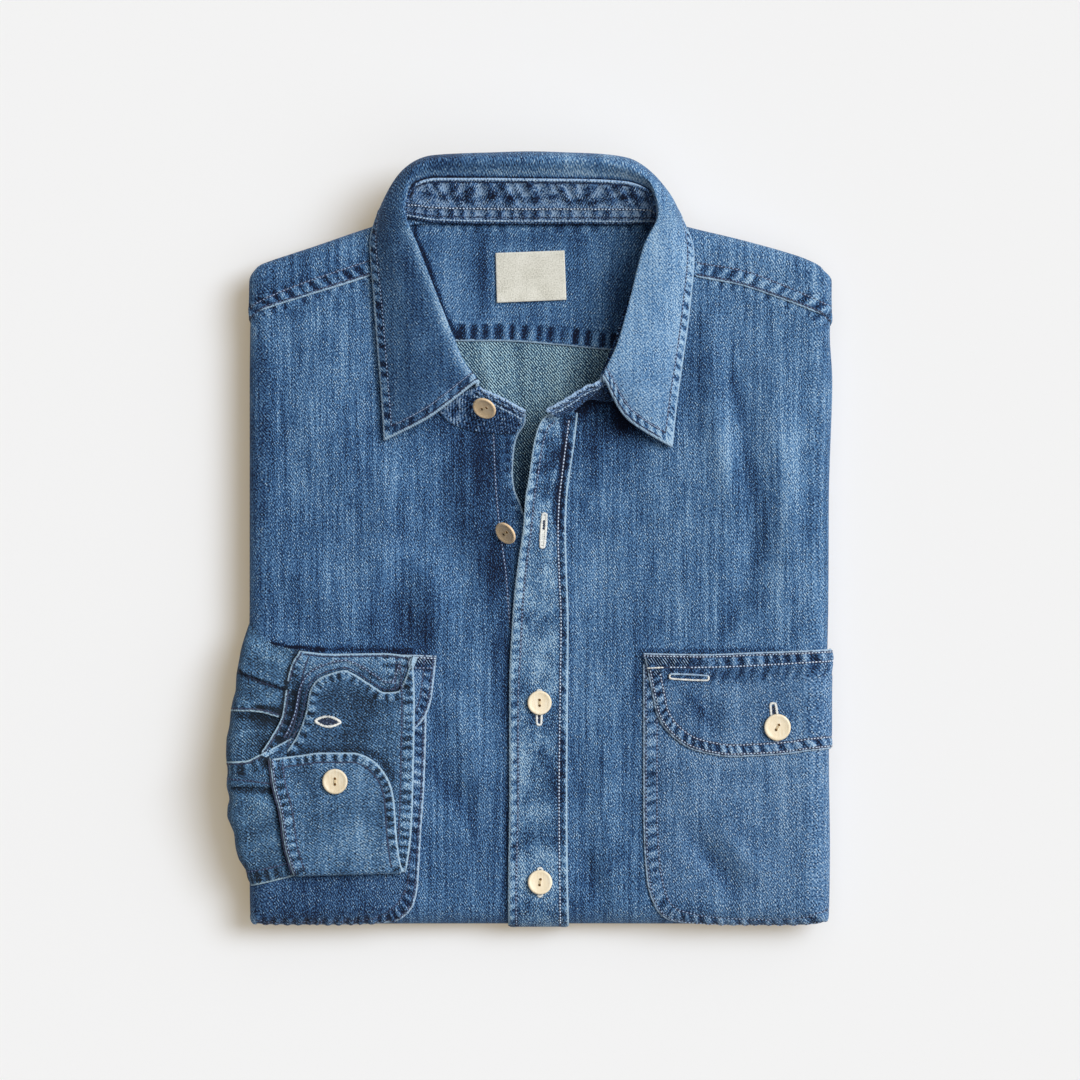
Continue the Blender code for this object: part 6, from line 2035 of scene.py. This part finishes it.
def make_buttonholes():
    by_name = {c.name: c for c in ALL}
    placket = by_name["placket_cloth"]
    eye(placket, (544.6, 513.5), (542.2, 547.5), 2.6, point=0.0, closed=(-0.62, -0.05))
    eye(placket, (539.4, 690), (539, 725), 2.8, point=0.0, thick=1.3)
    eye(placket, (540, 868), (540, 896.5), 2.8, point=0.0, thick=1.3)
    flap = by_name["flap_left_cloth"]
    eye(flap, (772.5, 703), (777, 740), 3.5, point=0.0)
    eye(flap, (669.5, 676.2), (708.5, 678), 3.0, point=-0.4, fill=False, thick=1.1, above="rope")
    hole = by_name["cuff_buttonhole_cloth"]
    eye(hole, (316, 720.5), (340.5, 722), 5.6)


# ----------------------------------------------------- light, floor, camera
def hole_material():
    n = Nodes("button_hole")
    g = n.node("ShaderNodeTexCoord")
    s = n.scaled(g.outputs["Object"], 1000, 1000, 1000)
    f = n.noise(s, 1.4, 2.0, dims="3D")
    n.put(n.bsdf.inputs["Base Color"], n.ramp(f, [(0.3, srgb(96, 64, 30)), (0.7, srgb(166, 120, 64))]))
    n.bsdf.inputs["Roughness"].default_value = 0.8
    return n.mat


MATERIALS["hole"] = hole_material()


# painted shade for the inside of a buttonhole's slit, with a few pale painted glints
def slit_shade_material():
    n = Nodes("buttonhole_slit")
    g = n.node("ShaderNodeTexCoord")
    s = n.scaled(g.outputs["Object"], 1000, 1000, 1000)
    f = n.noise(s, 1.0, 2.0, dims="3D")
    n.put(n.bsdf.inputs["Base Color"], n.ramp(f, [(0.35, srgb(12, 18, 36)), (0.62, srgb(44, 62, 92)),
                                                  (0.75, srgb(150, 164, 176))]))
    n.bsdf.inputs["Roughness"].default_value = 0.9
    return n.mat


MATERIALS["slit"] = slit_shade_material()


def layers_material():
    """The folded layers seen from the sides: the same denim, in space."""
    n = Nodes("denim_layers")
    g = n.node("ShaderNodeTexCoord")
    p = n.scaled(g.outputs["Object"], 1000, 1000, 1000)
    yarn = n.noise(n.scaled(p, 0.9, 0.9, 0.5), 1.0, 3.0, 0.65, dims="3D")
    slub = n.noise(n.scaled(p, 0.9, 0.9, 0.08), 1.0, 2.0, 0.6, dims="3D")
    cloud = n.noise(p, 0.05, 3.0, 0.6, dims="3D")
    value = n.add(0.42, n.mul(n.math("SUBTRACT", yarn, 0.5), 1.1), n.mul(n.math("SUBTRACT", slub, 0.5), 0.5),
                  n.mul(n.math("SUBTRACT", cloud, 0.5), 0.6))
    n.put(n.bsdf.inputs["Base Color"], n.ramp(value, [(0.0, srgb(22, 32, 60)), (0.22, srgb(43, 66, 104)),
                                                      (0.5, srgb(77, 109, 149)), (1.0, srgb(172, 197, 220))]))
    n.bsdf.inputs["Roughness"].default_value = 0.88
    n.bsdf.inputs["Specular IOR Level"].default_value = 0.18
    n.bump(n.add(yarn, slub), 0.0002, 0.9)
    return n.mat


def make_stage():
    floor_mesh = bpy.data.meshes.new("floor")
    s = 14.0
    floor_mesh.from_pydata([(-s, -s, 0), (s, -s, 0), (s, s, 0), (-s, s, 0)], [], [(0, 1, 2, 3)])
    n = Nodes("floor_paper")
    n.bsdf.inputs["Base Color"].default_value = FLOOR + (1,)
    n.bsdf.inputs["Emission Color"].default_value = FLOOR_GLOW + (1,)
    n.bsdf.inputs["Emission Strength"].default_value = 1.0
    n.bsdf.inputs["Roughness"].default_value = 1.0
    n.bsdf.inputs["Specular IOR Level"].default_value = 0.0
    floor_mesh.materials.append(n.mat)
    floor = bpy.data.objects.new("floor", floor_mesh)
    bpy.context.scene.collection.objects.link(floor)

    world = bpy.context.scene.world or bpy.data.worlds.new("studio")
    bpy.context.scene.world = world
    world.use_nodes = True
    background = world.node_tree.nodes["Background"]
    background.inputs[0].default_value = AMBIENT + (1,)
    background.inputs[1].default_value = AMBIENT_POWER

    for name, azimuth, elevation, spread, power in LIGHTS:
        light = bpy.data.lights.new(name, "SUN")
        light.angle = math.radians(2 * spread)
        light.energy = power * math.pi
        obj = bpy.data.objects.new(name, light)
        az, el = math.radians(azimuth), math.radians(elevation)
        d = Vector((math.cos(el) * math.cos(az), math.cos(el) * math.sin(az), math.sin(el)))
        obj.location = d * 3
        obj.rotation_euler = d.to_track_quat("Z", "Y").to_euler()
        bpy.context.scene.collection.objects.link(obj)

    cam = bpy.data.cameras.new("camera")
    cam.angle = 2 * math.atan(0.3024 / 3.175)
    cam.clip_end = 50
    camera = bpy.data.objects.new("camera", cam)
    camera.location = (0.0056, 0.00045, 3.2)
    bpy.context.scene.collection.objects.link(camera)
    bpy.context.scene.camera = camera
    bpy.context.scene.view_settings.view_transform = "Standard"


# white paper that glows a little, warm, so that shade on it is never deep
FLOOR, FLOOR_GLOW = (0.644, 0.713, 0.819), (0.252, 0.183, 0.077)
AMBIENT, AMBIENT_POWER = (1.0, 0.97, 0.92), 0.03
# a broad window on the right, and the wide soft light of its surroundings:
#   name, azimuth, elevation, half spread in degrees, power
LIGHTS = [("window", 29.0, 50.0, 18.0, 0.593), ("window_low", 20.0, 42.0, 12.0, 0.186),
          ("sky", 25.0, 60.0, 55.0, 0.452)]

make_fronts()
make_yoke()
make_pockets()
make_sleeve()
make_cuff()
make_inside()
make_collar()
make_buttons()
make_buttonholes()
sewn_on = make_threads()
make_shade_ribbons(sewn_on)

for name, (obj, nodes, slot, flat, area) in PIECES.items():
    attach(obj, "root")
    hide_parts(*nodes)
    threads = sewn_on.get(name, []) + EXTRAS.get(name, [])
    if not threads:
        threads = sewn_on.get(name.replace("_cream", ""), [])
    for t in threads:
        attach(t, "root")
    if name == "sleeve_inside_cloth":           # its narrow faced edge is added to this list, which nothing uses after
        threads = threads + [PIECES["slit_edge_cloth"][0]]

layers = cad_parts["folded_layers"]
layers.data.materials.clear()
layers.data.materials.append(layers_material())

make_stage()
